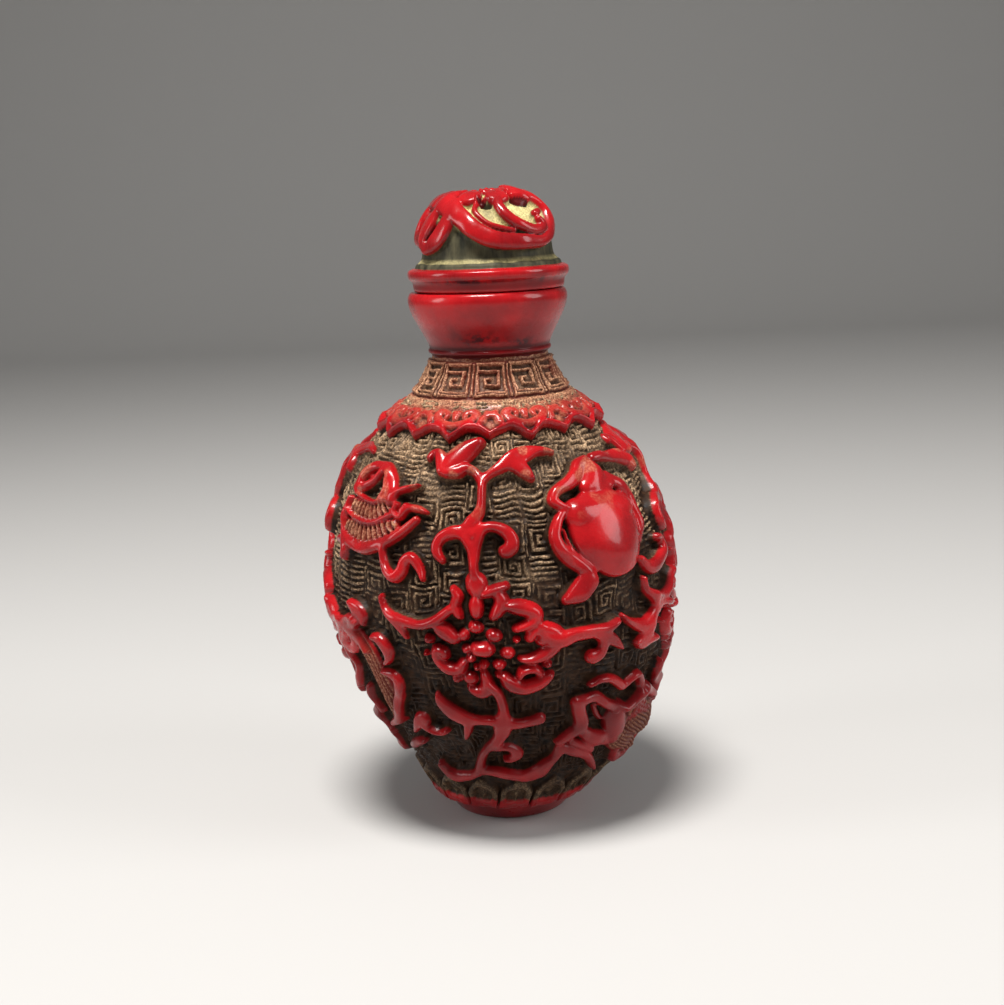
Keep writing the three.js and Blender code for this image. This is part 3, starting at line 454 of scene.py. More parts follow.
def fish_drum():
    """Lined drum tube with two beaters above it and ribbons."""
    return [
        stroke([(-2.2, -9.6, 1.3), (-0.8, -12.0, 1.45), (0.8, -14.6, 1.45), (2.2, -17.0, 1.3)], 1.8, "dome",
               ("along", 0.8, 0.15)),
        stroke([(-2.8, -8.8, 0.4), (-3.8, -7.2, 0.45), (-4.8, -5.4, 0.6)]),
        stroke([(-1.8, -8.4, 0.4), (-1.6, -7.0, 0.42), (-1.6, -5.2, 0.6)]),
        stroke([(2.8, -9.0, 0.4), (4.6, -9.6, 0.55), (5.9, -11.0, 0.55), (5.2, -12.8, 0.5), (5.8, -14.8, 0.5),
                (7.2, -16.8, 0.65)]),
        stroke([(-4.2, -11.8, 0.45), (-5.8, -13.2, 0.55), (-6.2, -15.0, 0.5), (-5.0, -16.8, 0.5),
                (-5.8, -18.8, 0.6)]),
        stroke([(0.6, -19.4, 0.4), (2.4, -20.4, 0.6), (4.4, -19.8, 0.45)]),
    ]


def forked_leaf(shift, reach):
    """Leaf with two arms and a spreading foot, between two flowers."""
    return [
        stroke([(shift - 5.2, -1.6, 0.25), (shift - 4.4, -2.5, 0.45), (shift - 3.2, -3.3, 0.6),
                (shift - 1.6, -3.9, 0.8), (shift, -4.0, 0.9)]),
        stroke([(shift - 0.6, -4.0, 0.9), (shift + 0.6, -3.3, 0.85), (shift + 1.8, -2.3, 0.75),
                (shift + 3.2, -1.9, 0.6), (shift + reach, -2.9, 0.5)]),
        stroke([(shift - 0.3, -4.0, 1.0), (shift - 0.7, -5.0, 1.05), (shift - 1.2, -5.9, 1.25)]),
        stroke([(shift - 2.6, -5.9, 0.3), (shift - 1.2, -6.0, 0.7), (shift + 1.4, -6.3, 0.4)]),
    ]


def body_strokes():
    """All carving of the body; the emblem columns differ, the scrolls repeat."""
    columns = [
        gourd() + palm_fan() + forked_leaf(5.6, 6.0),
        ribboned_sword() + pair_of_clappers() + forked_leaf(1.0, 5.0),
        lotus_pod() + fish_drum() + forked_leaf(1.0, 5.0),
        flower_basket() + tasselled_flute() + forked_leaf(-4.4, 2.6),
    ]
    carving = []
    for k, column in enumerate(columns):
        carving += placed(flower_scroll(), SCROLL_AXIS + k * QUARTER)
        carving += placed(column, EMBLEM_COLUMN + k * QUARTER)
    return carving


# ---- carving the unrolled surface ------------------------------------------

def nearest_on(line, x, y):
    """For each place: distance outside the band, half width, run along it and side offset."""
    a, b = line[:-1], line[1:]
    step = b[:, :2] - a[:, :2]
    length = np.maximum(np.hypot(step[:, 0], step[:, 1]), 1e-6)
    runs = np.concatenate([[0], np.cumsum(length)])[:-1]
    px = x[..., None] - a[:, 0]
    py = y[..., None] - a[:, 1]
    t = np.clip((px * step[:, 0] + py * step[:, 1]) / length**2, 0, 1)
    width = a[:, 2] + (b[:, 2] - a[:, 2]) * t
    away = np.hypot(px - t * step[:, 0], py - t * step[:, 1])
    pick = np.argmin(away - width, axis=-1)[..., None]
    side = np.sign(px * step[:, 1] - py * step[:, 0])

    def nearest(values):
        return np.take_along_axis(values, pick, -1)[..., 0]

    return nearest(away - width), nearest(width), nearest(runs + t * length), nearest(away * side)


def section(outside, width, form):
    """Height, 0 to 1, over a stroke's section: its crest and its steep side."""
    depth = np.clip(-outside / width, 0, 1)
    arch = np.sqrt(np.maximum(1 - (1 - depth) ** 2, 0))
    edge = 0.40 if form == "dome" else 0.74
    crest = edge + (1 - edge) * arch
    return crest * (1 - smoothstep(SIDE_START, SIDE, outside))


def carve(strokes, u, s, squeeze, seed):
    """Height, lacquer mask and lined share of all strokes on the grid of columns u and rows s.

    squeeze is each row's radius over the belly's. Plain round strokes run together in
    fillets, and domes and lined strokes stand on their own.
    """
    shape, cell = (len(s), len(u)), s[1] - s[0]
    far = 9.0            # past every stroke's reach
    outside, width, top = np.full(shape, far), np.full(shape, 0.5), np.zeros(shape)
    height, mask, lined = np.zeros(shape), np.zeros(shape), np.zeros(shape)
    for one in strokes:
        # Only the rows and columns that the stroke can reach are worked on.
        line = spline(one["points"], 6)
        low, high = line[:, :2].min(axis=0), line[:, :2].max(axis=0)
        reach = line[:, 2].max() + SIDE + FILLET
        rows = np.flatnonzero((s * DRAWN_STRETCH > low[1] - reach) & (s * DRAWN_STRETCH < high[1] + reach))
        if not len(rows):
            continue
        middle = (low[0] + high[0]) / 2
        near = u + TURN * np.round((middle - u) / TURN)
        spread = (high[0] - low[0]) / 2 + reach / squeeze[rows].min()
        columns = np.flatnonzero(np.abs(near - middle) < spread)
        block = np.ix_(rows, columns)
        uu, ss = np.meshgrid(near[columns], s[rows])

        # Across, both stroke and grid are measured on the true radius at their height.
        middle_squeeze = float(np.interp(line[:, 1].mean(), s, squeeze))
        line[:, 0] = (line[:, 0] - middle) * middle_squeeze
        x = (uu - middle) * (squeeze[rows][:, None] + middle_squeeze) / 2
        x = x + WOBBLE * ripples(uu, ss, 6.0, seed)
        y = (ss + WOBBLE * ripples(uu, ss, 6.0, seed + 1)) * DRAWN_STRETCH
        away, half, run, offset = nearest_on(line, x, y)
        half = np.maximum(half, THINNEST)

        # A smooth union: within a fillet of each other, two strokes share their distances.
        if one["form"] == "round" and not one["lines"]:
            share = np.clip(0.5 + 0.5 * (outside[block] - away) / FILLET, 0, 1)
            outside[block] += (away - outside[block]) * share - FILLET * share * (1 - share)
            width[block] += (half - width[block]) * share
            top[block] += (one["height"] - top[block]) * share
            continue

        rise = section(away, half, one["form"])
        if one["form"] == "dome":
            inside = section(np.minimum(away, 0), half, "dome")
            soft = blurred(inside, 0.2 * half.max() / cell, closed=False)
            rise = soft * (1 - smoothstep(SIDE_START, SIDE, away))
        if one["lines"]:
            direction, pitch, depth = one["lines"]
            phase = (run if direction == "across" else offset) / pitch
            cut = smoothstep(0.25, 0.75, np.abs(2 * (phase % 1) - 1))
            rise = rise * (1 - depth * cut * smoothstep(0.0, -0.25, away))
            lined[block] = np.maximum(lined[block], smoothstep(0.0, -0.3, away))
        height[block] = np.maximum(height[block], one["height"] * rise)
        mask[block] = np.maximum(mask[block], 1 - smoothstep(-0.02, 0.2, away))

    crests = 1 + CREST_SWELL * ripples(*np.meshgrid(u, s), 4.0, seed + 2)
    height = np.maximum(height, top * section(outside, width, "round") * crests)
    crossed = 1 - smoothstep(-0.1, 0.2, outside)
    return blurred(height, RUBBING / cell), np.maximum(mask, crossed), lined * (1 - 0.7 * crossed)


FRET_COLUMNS = 36        # upright rows of fret tiles round the body
FRET_TILE = 3.7          # height of one tile
FRET_PITCH = 0.74        # from one ridge to the next
FRET_STRAY = 0.13        # how far the knife strays from the tiles' lines
FRET_ORDER = 24          # tiles up a row before their kinds repeat


def square_spiral(x, y, pitch):
    """Running distance of a squared spiral's arms: whole pitches are ridges."""
    right = (x >= y - pitch / 4) & (x > pitch / 4 - y)
    others = np.maximum(np.maximum(y - pitch / 4, -x - pitch / 2), -y - 3 * pitch / 4)
    return np.where(right, x, others) / pitch


def fret_ground(u, s, seed):
    """Ridges, 0 to 1, of the diaper ground: squared spirals and ladders from an unsteady hand.

    Every upright row of tiles starts at its own height, so that the rows don't line up.
    """
    rng = np.random.default_rng(seed)
    across = (u + FRET_STRAY * ripples(u, s, 5.0, seed)) * FRET_COLUMNS / TURN
    column = np.floor(across).astype(int) % FRET_COLUMNS
    x = (across % 1 - 0.5) * TURN / FRET_COLUMNS
    climb = s + FRET_STRAY * ripples(u, s, 5.0, seed + 1) + rng.uniform(0, FRET_TILE, FRET_COLUMNS)[column]
    tile = np.floor(climb / FRET_TILE).astype(int)
    y = climb - (tile + 0.5) * FRET_TILE
    # Kinds 0 and 1 are ladders of five rungs; 2, 3 and 4 are spirals, two of them mirrored.
    kinds = rng.integers(0, 5, (FRET_COLUMNS, FRET_ORDER))
    kind = kinds[column, tile % FRET_ORDER]
    spiral = square_spiral(np.where(kind == 2, -x, x), np.where(kind == 3, -y, y), FRET_PITCH)
    phase = np.where(kind < 2, 5 * y / FRET_TILE, spiral)
    ridge = smoothstep(0.12, 0.72, 0.5 + 0.5 * np.cos(2 * math.pi * phase))
    ladder = smoothstep(0.5, 0.36, np.abs(x) * FRET_COLUMNS / TURN)
    worn_down = 0.35 + 0.65 * smoothstep(-1.2, 0.3, ripples(u, s, 7.0, seed + 2))
    return ridge * np.where(kind < 2, ladder, 1.0) * worn_down


# ---- meshes ----------------------------------------------------------------

def cylinder_points(angle, r, z):
    """Points (x, y, z) at the angle from the front, -Y, towards +X."""
    level = np.broadcast_to(z, np.broadcast(angle, r).shape)
    return np.stack([r * np.sin(angle), -r * np.cos(angle), level], -1)


def grid_faces(first, columns, rows, closed):
    """Quads of a grid whose rows climb and whose columns run round towards +X."""
    k = np.arange(columns if closed else columns - 1)
    row = first + columns * np.arange(rows - 1)[:, None]
    a, b = row + k, row + (k + 1) % columns
    return np.stack([a, b, b + columns, a + columns], -1).reshape(-1, 4)


def bridging_faces(a, b):
    """Quads that join two runs of as many vertices."""
    return np.stack([a[:-1], a[1:], b[1:], b[:-1]], -1)


def end_fans(rows, columns):
    """Triangles from a closed grid's first and last row to the two centres that follow it."""
    k = np.arange(columns)
    after = (k + 1) % columns
    top = (rows - 1) * columns
    first_centre = rows * columns
    return [
        np.stack([np.full(columns, first_centre), after, k], -1),
        np.stack([np.full(columns, first_centre + 1), top + k, top + after], -1),
    ]


def with_centres(points):
    """A grid's points as one list, then the centres of its first and last row."""
    return np.concatenate([points.reshape(-1, 3), [points[0].mean(axis=0)], [points[-1].mean(axis=0)]])


def zipped_faces(low, high):
    """Triangles that join two open runs of vertices with different counts."""
    faces, a, b = [], 0, 0
    while a < len(low) - 1 or b < len(high) - 1:
        step_low = b >= len(high) - 1 or (
            a < len(low) - 1 and (a + 1) / (len(low) - 1) <= (b + 1) / (len(high) - 1))
        if step_low:
            faces.append((low[a], low[a + 1], high[b]))
            a += 1
        else:
            faces.append((low[a], high[b + 1], high[b]))
            b += 1
    return np.array(faces)


def make_mesh(name, points, faces, attributes=None, normals=None, uv=None):
    """A smooth mesh object in metres from points in mm and a list of face arrays."""
    mesh = bpy.data.meshes.new(name)
    mesh.vertices.add(len(points))
    mesh.vertices.foreach_set("co", (np.asarray(points) * MM).ravel())
    corners = np.concatenate([group.ravel() for group in faces]).astype(np.int32)
    sizes = np.concatenate([np.full(len(group), group.shape[1]) for group in faces]).astype(np.int32)
    starts = np.concatenate([[0], np.cumsum(sizes)[:-1]]).astype(np.int32)
    mesh.loops.add(len(corners))
    mesh.loops.foreach_set("vertex_index", corners)
    mesh.polygons.add(len(sizes))
    mesh.polygons.foreach_set("loop_start", starts)
    mesh.polygons.foreach_set("use_smooth", np.ones(len(sizes), bool))
    for key, values in (attributes or {}).items():
        mesh.attributes.new(key, "FLOAT", "POINT").data.foreach_set("value", np.asarray(values, np.float32))
    if uv is not None:
        layer = mesh.uv_layers.new(name="Unrolled")
        layer.uv.foreach_set("vector", np.asarray(uv, np.float32)[corners].ravel())
    mesh.update(calc_edges=True)
    if normals is not None:
        mesh.normals_split_custom_set_from_vertices(np.asarray(normals, np.float32).tolist())
    piece = bpy.data.objects.new(name, mesh)
    bpy.context.scene.collection.objects.link(piece)
    return piece


def grid_normals(points):
    """Outward normals of a grid (rows, columns, 3) whose columns close on themselves."""
    across = np.roll(points, -1, 1) - np.roll(points, 1, 1)
    along = np.gradient(points, axis=0)
    normal = np.cross(across, along)
    return normal / np.maximum(np.linalg.norm(normal, axis=-1, keepdims=True), 1e-9)


# Shares, 0 to 1, that each point carries for the materials: red lacquer or ground, painted shade
# where shade falls in recesses and low down, rubbed ridge with painted highlight, pale wear and
# dust with painted light, and stain.
FINISH_AND_SHADE = ("lacquer", "painted_shade", "ridge", "pale", "stain")
# Points inside the hollow get only painted shade.
INSIDE_SHADE = {"painted_shade": 0.8}


def with_inside(finish_and_shade, count):
    """Finish and painted shade of the outer points, then of count points inside, which get only painted
    shade.
    """
    return {key: np.concatenate([values.ravel(), np.full(count, INSIDE_SHADE.get(key, 0.0))])
            for key, values in finish_and_shade.items()}


def dressed(piece, cad_node, material):
    """Gives a finished piece its material and its place in the frame."""
    if not piece.data.materials:
        piece.data.materials.append(material)
    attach(piece, "root")
    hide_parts(cad_node)


# ---- materials -------------------------------------------------------------

def srgb(code):
    """Linear RGBA from an sRGB hex code."""
    channels = [int(code[i:i + 2], 16) / 255 for i in (1, 3, 5)]
    return tuple(c / 12.92 if c <= 0.04045 else ((c + 0.055) / 1.055) ** 2.4 for c in channels) + (1.0,)


def node(tree, kind, settings=None, links=None):
    """Adds a node; settings are properties or input values, links are inputs fed by sockets."""
    made = tree.nodes.new(kind)
    for key, value in (settings or {}).items():
        if isinstance(key, str) and hasattr(made, key):
            setattr(made, key, value)
        else:
            made.inputs[key].default_value = value
    for key, socket in (links or {}).items():
        tree.links.new(socket, made.inputs[key])
    return made


def new_material(name):
    """A material with an empty node tree."""
    material = bpy.data.materials.new(name)
    material.use_nodes = True
    material.node_tree.nodes.clear()
    return material


def mix_colors(tree, factor, low, high):
    """Colour between low and high; each is a colour or a socket."""
    mixed = node(tree, "ShaderNodeMix", {"data_type": "RGBA"})
    for slot_index, value in ((0, factor), (6, low), (7, high)):
        if isinstance(value, bpy.types.NodeSocket):
            tree.links.new(value, mixed.inputs[slot_index])
        else:
            mixed.inputs[slot_index].default_value = value
    return mixed.outputs[2]


def ranged(tree, socket, low, high, to_low=0.0, to_high=1.0):
    """The socket's value, moved from low..high to to_low..to_high and held there."""
    made = node(tree, "ShaderNodeMapRange", {1: low, 2: high, 3: to_low, 4: to_high}, {0: socket})
    return made.outputs[0]


def product(tree, first, second):
    """A socket times a socket or a number, held between 0 and 1."""
    made = node(tree, "ShaderNodeMath", {"operation": "MULTIPLY", "use_clamp": True}, {0: first})
    if isinstance(second, bpy.types.NodeSocket):
        tree.links.new(second, made.inputs[1])
    else:
        made.inputs[1].default_value = second
    return made.outputs[0]


def carved_lacquer(name, low_ground, high_ground, bloom, thinnest_bloom, streak_height, colors):
    """Cinnabar-red lacquer: many thin coats, cut through, then rubbed and handled.

    The crests are polished and wet-looking. The cut ground never was: it holds dark
    soot and wax, rubbed back to a pale bloom on its ridges, which is partly painted
    highlight. The painted_shade share darkens the red and thins the bloom where shade falls.
    Stains are old spills. The bloom thins to thinnest_bloom in patches, and a
    streak_height below 1 draws the grime out upwards.
    """
    material = new_material(name)
    tree = material.node_tree
    place = node(tree, "ShaderNodeTexCoord").outputs["Object"]
    lacquer, painted_shade, ridge, pale, stain = (
        node(tree, "ShaderNodeAttribute", {"attribute_name": key}).outputs["Fac"] for key in FINISH_AND_SHADE)

    # Clouds of 5 mm, grime of 1 mm and grain of 0.25 mm. The scale is waves per metre.
    clouds = node(tree, "ShaderNodeTexNoise", {"Scale": 200.0, "Detail": 3.0},
                  {"Vector": place}).outputs["Fac"]
    drawn = node(tree, "ShaderNodeVectorMath", {"operation": "MULTIPLY", 1: (1, 1, streak_height)},
                 {0: place})
    grime = node(tree, "ShaderNodeTexNoise", {"Scale": 1000.0, "Detail": 4.0, "Roughness": 0.65},
                 {"Vector": drawn.outputs[0]}).outputs["Fac"]
    grain = node(tree, "ShaderNodeTexNoise", {"Scale": 4000.0, "Detail": 2.0},
                 {"Vector": place}).outputs["Fac"]

    # Red in deep and light clouds, worn pale in places, partly as painted highlight on scuffed crests,
    # and darkened by painted shade in its recesses.
    red = mix_colors(tree, ranged(tree, clouds, 0.35, 0.65), srgb(colors.lacquer_deep), srgb(colors.lacquer))
    speckle = ranged(tree, grain, 0.44, 0.60, thinnest_bloom, 1.0)
    bare = product(tree, ranged(tree, ridge, 0.15, 0.75), ranged(tree, grime, 0.30, 0.55, 0.45, 1.0))
    bare = product(tree, bare, speckle)
    worn = mix_colors(tree, bare, srgb(colors.worn), srgb(colors.tan))
    patchy = product(tree, pale, ranged(tree, clouds, 0.36, 0.60, 0.7, 1.0))
    red = mix_colors(tree, patchy, red, worn)
    shaded = product(tree, ranged(tree, painted_shade, 0.2, 0.8), 0.85)
    red = mix_colors(tree, shaded, red, srgb(colors.lacquer_shadow))

    # The ground under its bloom, which keeps to rubbed ridges and is partly painted highlight,
    # and under a film of dust; both fade where painted shade lies.
    ground = mix_colors(tree, ranged(tree, grime, 0.35, 0.65), srgb(low_ground), srgb(high_ground))
    rubbed_and_lit = product(tree, ranged(tree, ridge, 0.3, 0.9),
                     ranged(tree, clouds, 0.38, 0.60, thinnest_bloom, 1.0))
    rubbed_and_lit = product(tree, rubbed_and_lit, ranged(tree, grime, 0.36, 0.58, thinnest_bloom, 1.0))
    rubbed_and_lit = product(tree, rubbed_and_lit, ranged(tree, painted_shade, 0.1, 0.6, 1.0, 0.15))
    rubbed_and_lit = product(tree, rubbed_and_lit, speckle)
    ground = mix_colors(tree, rubbed_and_lit, ground, srgb(bloom))
    dust = product(tree, product(tree, pale, speckle), ranged(tree, painted_shade, 0.05, 0.5, 0.8, 0.2))
    ground = mix_colors(tree, dust, ground, srgb(bloom))

    # Red and ground meet at an uneven edge, and old spills lie over both.
    edge = product(tree, lacquer, ranged(tree, grime, 0.2, 0.45, 0.6, 1.0))
    color = mix_colors(tree, ranged(tree, edge, 0.35, 0.65), ground, red)
    spilt = product(tree, stain, ranged(tree, grime, 0.44, 0.56))
    color = mix_colors(tree, spilt, color, srgb(colors.stain))

    # Crests keep their polish; worn places and recesses lose it.
    gloss = product(tree, lacquer, ranged(tree, pale, 0.0, 1.0, 1.0, 0.35))
    gloss = product(tree, gloss, ranged(tree, painted_shade, 0.2, 0.7, 1.0, 0.5))
    rough = node(tree, "ShaderNodeMath", {"operation": "ADD"},
                 {0: ranged(tree, gloss, 0.0, 1.0, 0.52, 0.24),
                  1: ranged(tree, grime, 0.3, 0.8, -0.04, 0.12)}).outputs[0]
    bump = node(tree, "ShaderNodeBump", {"Strength": 0.3, "Distance": 0.05 * MM},
                {"Height": grain}).outputs["Normal"]
    dents = node(tree, "ShaderNodeBump", {"Strength": 0.35, "Distance": 0.10 * MM},
                 {"Height": grime, "Normal": bump}).outputs["Normal"]
    shader = node(tree, "ShaderNodeBsdfPrincipled",
                  {"IOR": 1.5, "Specular IOR Level": 0.15, "Coat Roughness": 0.12, "Coat IOR": 1.5},
                  {"Base Color": color, "Roughness": rough, "Normal": dents,
                   "Coat Weight": ranged(tree, gloss, 0.3, 1.0, 0.0, 0.45)})
    node(tree, "ShaderNodeOutputMaterial", links={"Surface": shader.outputs[0]})
    return material


def floor_material():
    """Matte paper, pale and even, under the bottle and behind it."""
    material = new_material("pale_matte_paper")
    tree = material.node_tree
    shader = node(tree, "ShaderNodeBsdfPrincipled", {"Base Color": srgb("#BFBEBC"), "Roughness": 0.85})
    node(tree, "ShaderNodeOutputMaterial", links={"Surface": shader.outputs[0]})
    return material


MATERIALS = {}


def lacquer_material():
    """The bottle's lacquer over its dark, sooty ground."""
    if "body" not in MATERIALS:
        colors = bpy.context.scene.snuff_colors
        MATERIALS["body"] = carved_lacquer("carved_cinnabar_lacquer", colors.soot, colors.wax, colors.bloom,
                                           0.3, 1.0, colors)
    return MATERIALS["body"]


def stopper_material():
    """The same lacquer over a smooth olive ground, brushed upwards, with cream hollows."""
    if "stopper" not in MATERIALS:
        colors = bpy.context.scene.snuff_colors
        MATERIALS["stopper"] = carved_lacquer("brushed_olive_and_lacquer", colors.olive_deep, colors.olive,
                                              colors.cream, 0.6, 0.2, colors)
    return MATERIALS["stopper"]


# ---- properties ------------------------------------------------------------

def color_property(label, text, code):
    """A colour that a user may change, kept as its sRGB hex code."""
    return bpy.props.StringProperty(name=label, description=text, default=code)


def length_property(label, text, millimetres):
    """A length that a user may change, in Blender's own metres."""
    return bpy.props.FloatProperty(name=label, description=text, default=millimetres * MM, unit="LENGTH",
                                   precision=6)


def count_property(label, text, count):
    """How many units stand round a ring."""
    return bpy.props.IntProperty(name=label, description=text, default=count, min=4)


class SnuffBottleColors(bpy.types.PropertyGroup):
    """Colours of lacquer, ground and stopper under plain white light, but for painted shade and highlight"""
    lacquer: color_property("Lacquer", "Polished red of the crests", "#B01218")
    lacquer_deep: color_property("Deep lacquer", "Red in its darker clouds", "#860D13")
    # Painted shade: the red that recesses, the lower body, foot, cup and the inside are mixed towards.
    lacquer_shadow: color_property("Lacquer in recesses", "Red low on the carving", "#2E080A")
    soot: color_property("Soot", "Darkest grime of the ground", "#150C08")
    wax: color_property("Wax", "Brown wax in the ground", "#3A2618")
    # The bloom is rubbed wear, and partly painted highlight on ridges and painted light near the shoulder.
    bloom: color_property("Bloom", "Rosy tan bloom on rubbed ridges", "#D3B18C")
    worn: color_property("Worn lacquer", "Brownish red where collar and neck are worn", "#4C2216")
    tan: color_property("Tan", "Bare tan under the worn red", "#CC9B78")
    olive_deep: color_property("Deep olive", "Dark of the stopper's ground", "#2A2A20")
    olive: color_property("Olive", "Light of the stopper's ground", "#54503C")
    cream: color_property("Cream", "Hollows of the stopper", "#EEDF9C")
    stain: color_property("Stain", "Old dark stains on cup and flange", "#1C0A12")


class SnuffBottleSizes(bpy.types.PropertyGroup):
    """Fineness and height of the carving, and how many units each ring has"""
    cell: length_property("Cell", "Grid cell of the carved body", 0.156)
    ground_relief: length_property("Ground relief", "Height of the fret ground's ridges", 0.38)
    collar_relief: length_property("Collar relief", "Thickness of the collar", 1.6)
    petal_relief: length_property("Petal relief", "Thickness of the foot's petals", 0.9)
    lappets: count_property("Lappets", "Broad lappets round the collar", 9)
    frets: count_property("Frets", "Key-fret panels round the neck", 12)
    petals: count_property("Petals", "Petals round the foot", 17)


# ---- the carved body -------------------------------------------------------

SECTORS = 4
BORE_FOOT_Z = 53.0       # above it the hollow is the plain bore
HAND_SWELL = 0.04        # how far the surface rises and falls under the carving
SIDE_THINNING = 0.55     # share by which carving sinks on the sides of the shoulder


def body_surface(sizes):
    """Grid of outer points with their normals, finish and painted shade, and the height of each row."""
    cell = sizes.cell / MM
    columns = SECTORS * round(TURN / SECTORS / cell)
    low, high = s_of(PETAL_TOP_Z - 0.4), s_of(COLLAR_TOP_Z)
    s = np.linspace(low, high, round((high - low) / cell))
    u = np.arange(columns) * TURN / columns
    z, r, up, out = ground(s)
    uu, ss = np.meshgrid(u, s)

    carving, mask, lined = carve(body_strokes(), u, s, r / BELLY_UNIT, seed=11)
    aside = np.abs((uu + TURN / 2) % TURN - TURN / 2)
    carving = carving * (1 - SIDE_THINNING * smoothstep(16, 21, ss) * smoothstep(9, 16, aside))
    fret = sizes.ground_relief / MM * fret_ground(uu, ss, seed=31)
    height = np.maximum(carving, fret * (1 - mask))
    height = height + HAND_SWELL * (ripples(uu, ss, 6.0, 41) + (1 - mask) * ripples(uu, ss, 1.2, 42))

    radius = r[:, None] + height * out[:, None]
    level = z[:, None] + height * up[:, None]
    points = cylinder_points(u[None, :] / BELLY_UNIT, radius, level)
    points[..., 0] += sway(z)[:, None]
    finish_and_shade = body_finish_and_shade(uu, ss, height, carving, mask, lined, cell)
    return points, grid_normals(points), finish_and_shade, z


def body_finish_and_shade(u, s, height, carving, mask, lined, cell):
    """Finish and painted shade of the body: painted shade low down, bloom and dust with painted
    light towards the shoulder, and scuffed crests that are partly painted highlight.
    """
    hollow = 0.5 * blurred(height, 0.6 / cell) + 0.9 * blurred(height, 1.6 / cell) - 1.4 * height
    fine = height - blurred(height, 0.30 / cell)
    rubbed_and_lit = smoothstep(-18, 16, s + 2.5 * ripples(u, s, 12.0, 51))

    # Painted shade: recesses are dark, and so is all of the lower body, as under a light from above;
    # near the lit shoulder the painted shade thins.
    painted_shade = np.maximum(np.clip(hollow, 0, 1), 0.5 * smoothstep(4, -18, s))
    painted_shade = painted_shade * (1 - 0.4 * smoothstep(6, 18, s))

    # The fret's ridges are rubbed pale, with painted highlight on their crests, and paler towards the
    # shoulder, partly as painted light from above.
    bloom = np.clip(0.15 + 0.5 * rubbed_and_lit + 0.1 * smoothstep(10, 18, s) + fine / 0.09, 0, 1)
    ridge = bloom * (1 - mask) * (0.2 + 0.8 * rubbed_and_lit)

    # Scuffs on the highest crests of the shoulder are partly painted highlight; dust lies in clouds on
    # the ground, and its rise towards the shoulder is partly painted light.
    crests = smoothstep(1.0, 1.6, carving) * smoothstep(8, 17, s)
    scuffs_and_highlights = 0.4 * crests * smoothstep(0.5, 1.3, ripples(u, s, 3.5, 61))
    clouds = smoothstep(-8, 6, s) * smoothstep(0.2, 1.3, ripples(u, s, 9.0, 71))
    dust_and_light = 0.25 * smoothstep(9, 18, s) + 0.3 * clouds
    ridge = np.maximum(ridge, 0.9 * mask * (scuffs_and_highlights > 0.02))
    ridge = np.maximum(ridge, 0.7 * lined * np.clip(0.5 + fine / 0.1, 0, 1))
    return {
        "lacquer": mask,
        "painted_shade": painted_shade,
        "ridge": ridge,
        "pale": np.maximum(0.85 * lined, np.where(mask > 0.5, scuffs_and_highlights, dust_and_light)),
        "stain": np.zeros_like(mask),
    }


def hollow_radius(z):
    """Radius of the hollow inside; the wall thickens towards neck and foot."""
    r = ground_radius(z) - WALL
    r = r - 3 * smoothstep(40, 50, z) - 1.5 * (1 - smoothstep(9, 20, z))
    return np.where(z > BORE_FOOT_Z, BORE_RADIUS, np.maximum(r, BORE_RADIUS))


def unrolled(left, right, columns, rows):
    """UV places of a grid that fills its map's height between left and right."""
    across, up = np.meshgrid(np.linspace(left, right, columns), np.linspace(0, 1, rows))
    return np.stack([across, up], -1).reshape(-1, 2)


def body_sector(points, normals, finish_and_shade, z, index, material):
    """One closed wedge of the body, from the carved face in to the hollow."""
    rows, columns = points.shape[:2]
    share = columns // SECTORS
    pick = np.arange(index * share, (index + 1) * share + 1) % columns
    outer = points[:, pick]
    inner_columns = 9
    angle = 2 * math.pi / SECTORS * (index + np.linspace(0, 1, inner_columns))
    inner = cylinder_points(angle[None, :], hollow_radius(z)[:, None], z[:, None])
    inner[..., 0] += sway(z)[:, None]
    count_outer, count_inner = rows * (share + 1), rows * inner_columns
    outer_at = np.arange(count_outer).reshape(rows, -1)
    inner_at = count_outer + np.arange(count_inner).reshape(rows, -1)

    # The carved face, the hollow's, the two cut sides, and the rims above and below.
    faces = [
        grid_faces(0, share + 1, rows, closed=False),
        grid_faces(count_outer, inner_columns, rows, closed=False)[:, ::-1],
        bridging_faces(outer_at[:, 0], inner_at[:, 0]),
        bridging_faces(outer_at[:, -1], inner_at[:, -1])[:, ::-1],
        zipped_faces(outer_at[-1], inner_at[-1]),
        zipped_faces(outer_at[0], inner_at[0])[:, ::-1],
    ]
    inner_normals = -cylinder_points(angle[None, :], np.ones((rows, 1)), np.zeros((rows, 1)))
    all_normals = np.concatenate([normals[:, pick].reshape(-1, 3), inner_normals.reshape(-1, 3)])
    attributes = with_inside({key: values[:, pick] for key, values in finish_and_shade.items()}, count_inner)
    uv = np.concatenate([unrolled(0.0, 0.9, share + 1, rows), unrolled(0.91, 1.0, inner_columns, rows)])
    all_points = np.concatenate([outer.reshape(-1, 3), inner.reshape(-1, 3)])
    piece = make_mesh(f"body_sector_{index + 1}", all_points, faces, attributes, all_normals, uv)
    dressed(piece, "bottle", material)


class SNUFF_OT_body(bpy.types.Operator):
    """Carved body in wedges that meet edge to edge"""
    bl_idname = "snuff.body"
    bl_label = "Carved Body"

    def execute(self, context):
        surface = body_surface(context.scene.snuff_sizes)
        for index in range(SECTORS):
            body_sector(*surface, index, lacquer_material())
        return {"FINISHED"}


# ---- rings of equal units, repeated by geometry nodes ----------------------

RING_INPUTS = {
    "Geometry": "Geometry", "Count": "Int", "Unevenness": "Float", "Noise Scale": "Float",
    "Seed": "Float", "Weld": "Float", "Material": "Material",
}


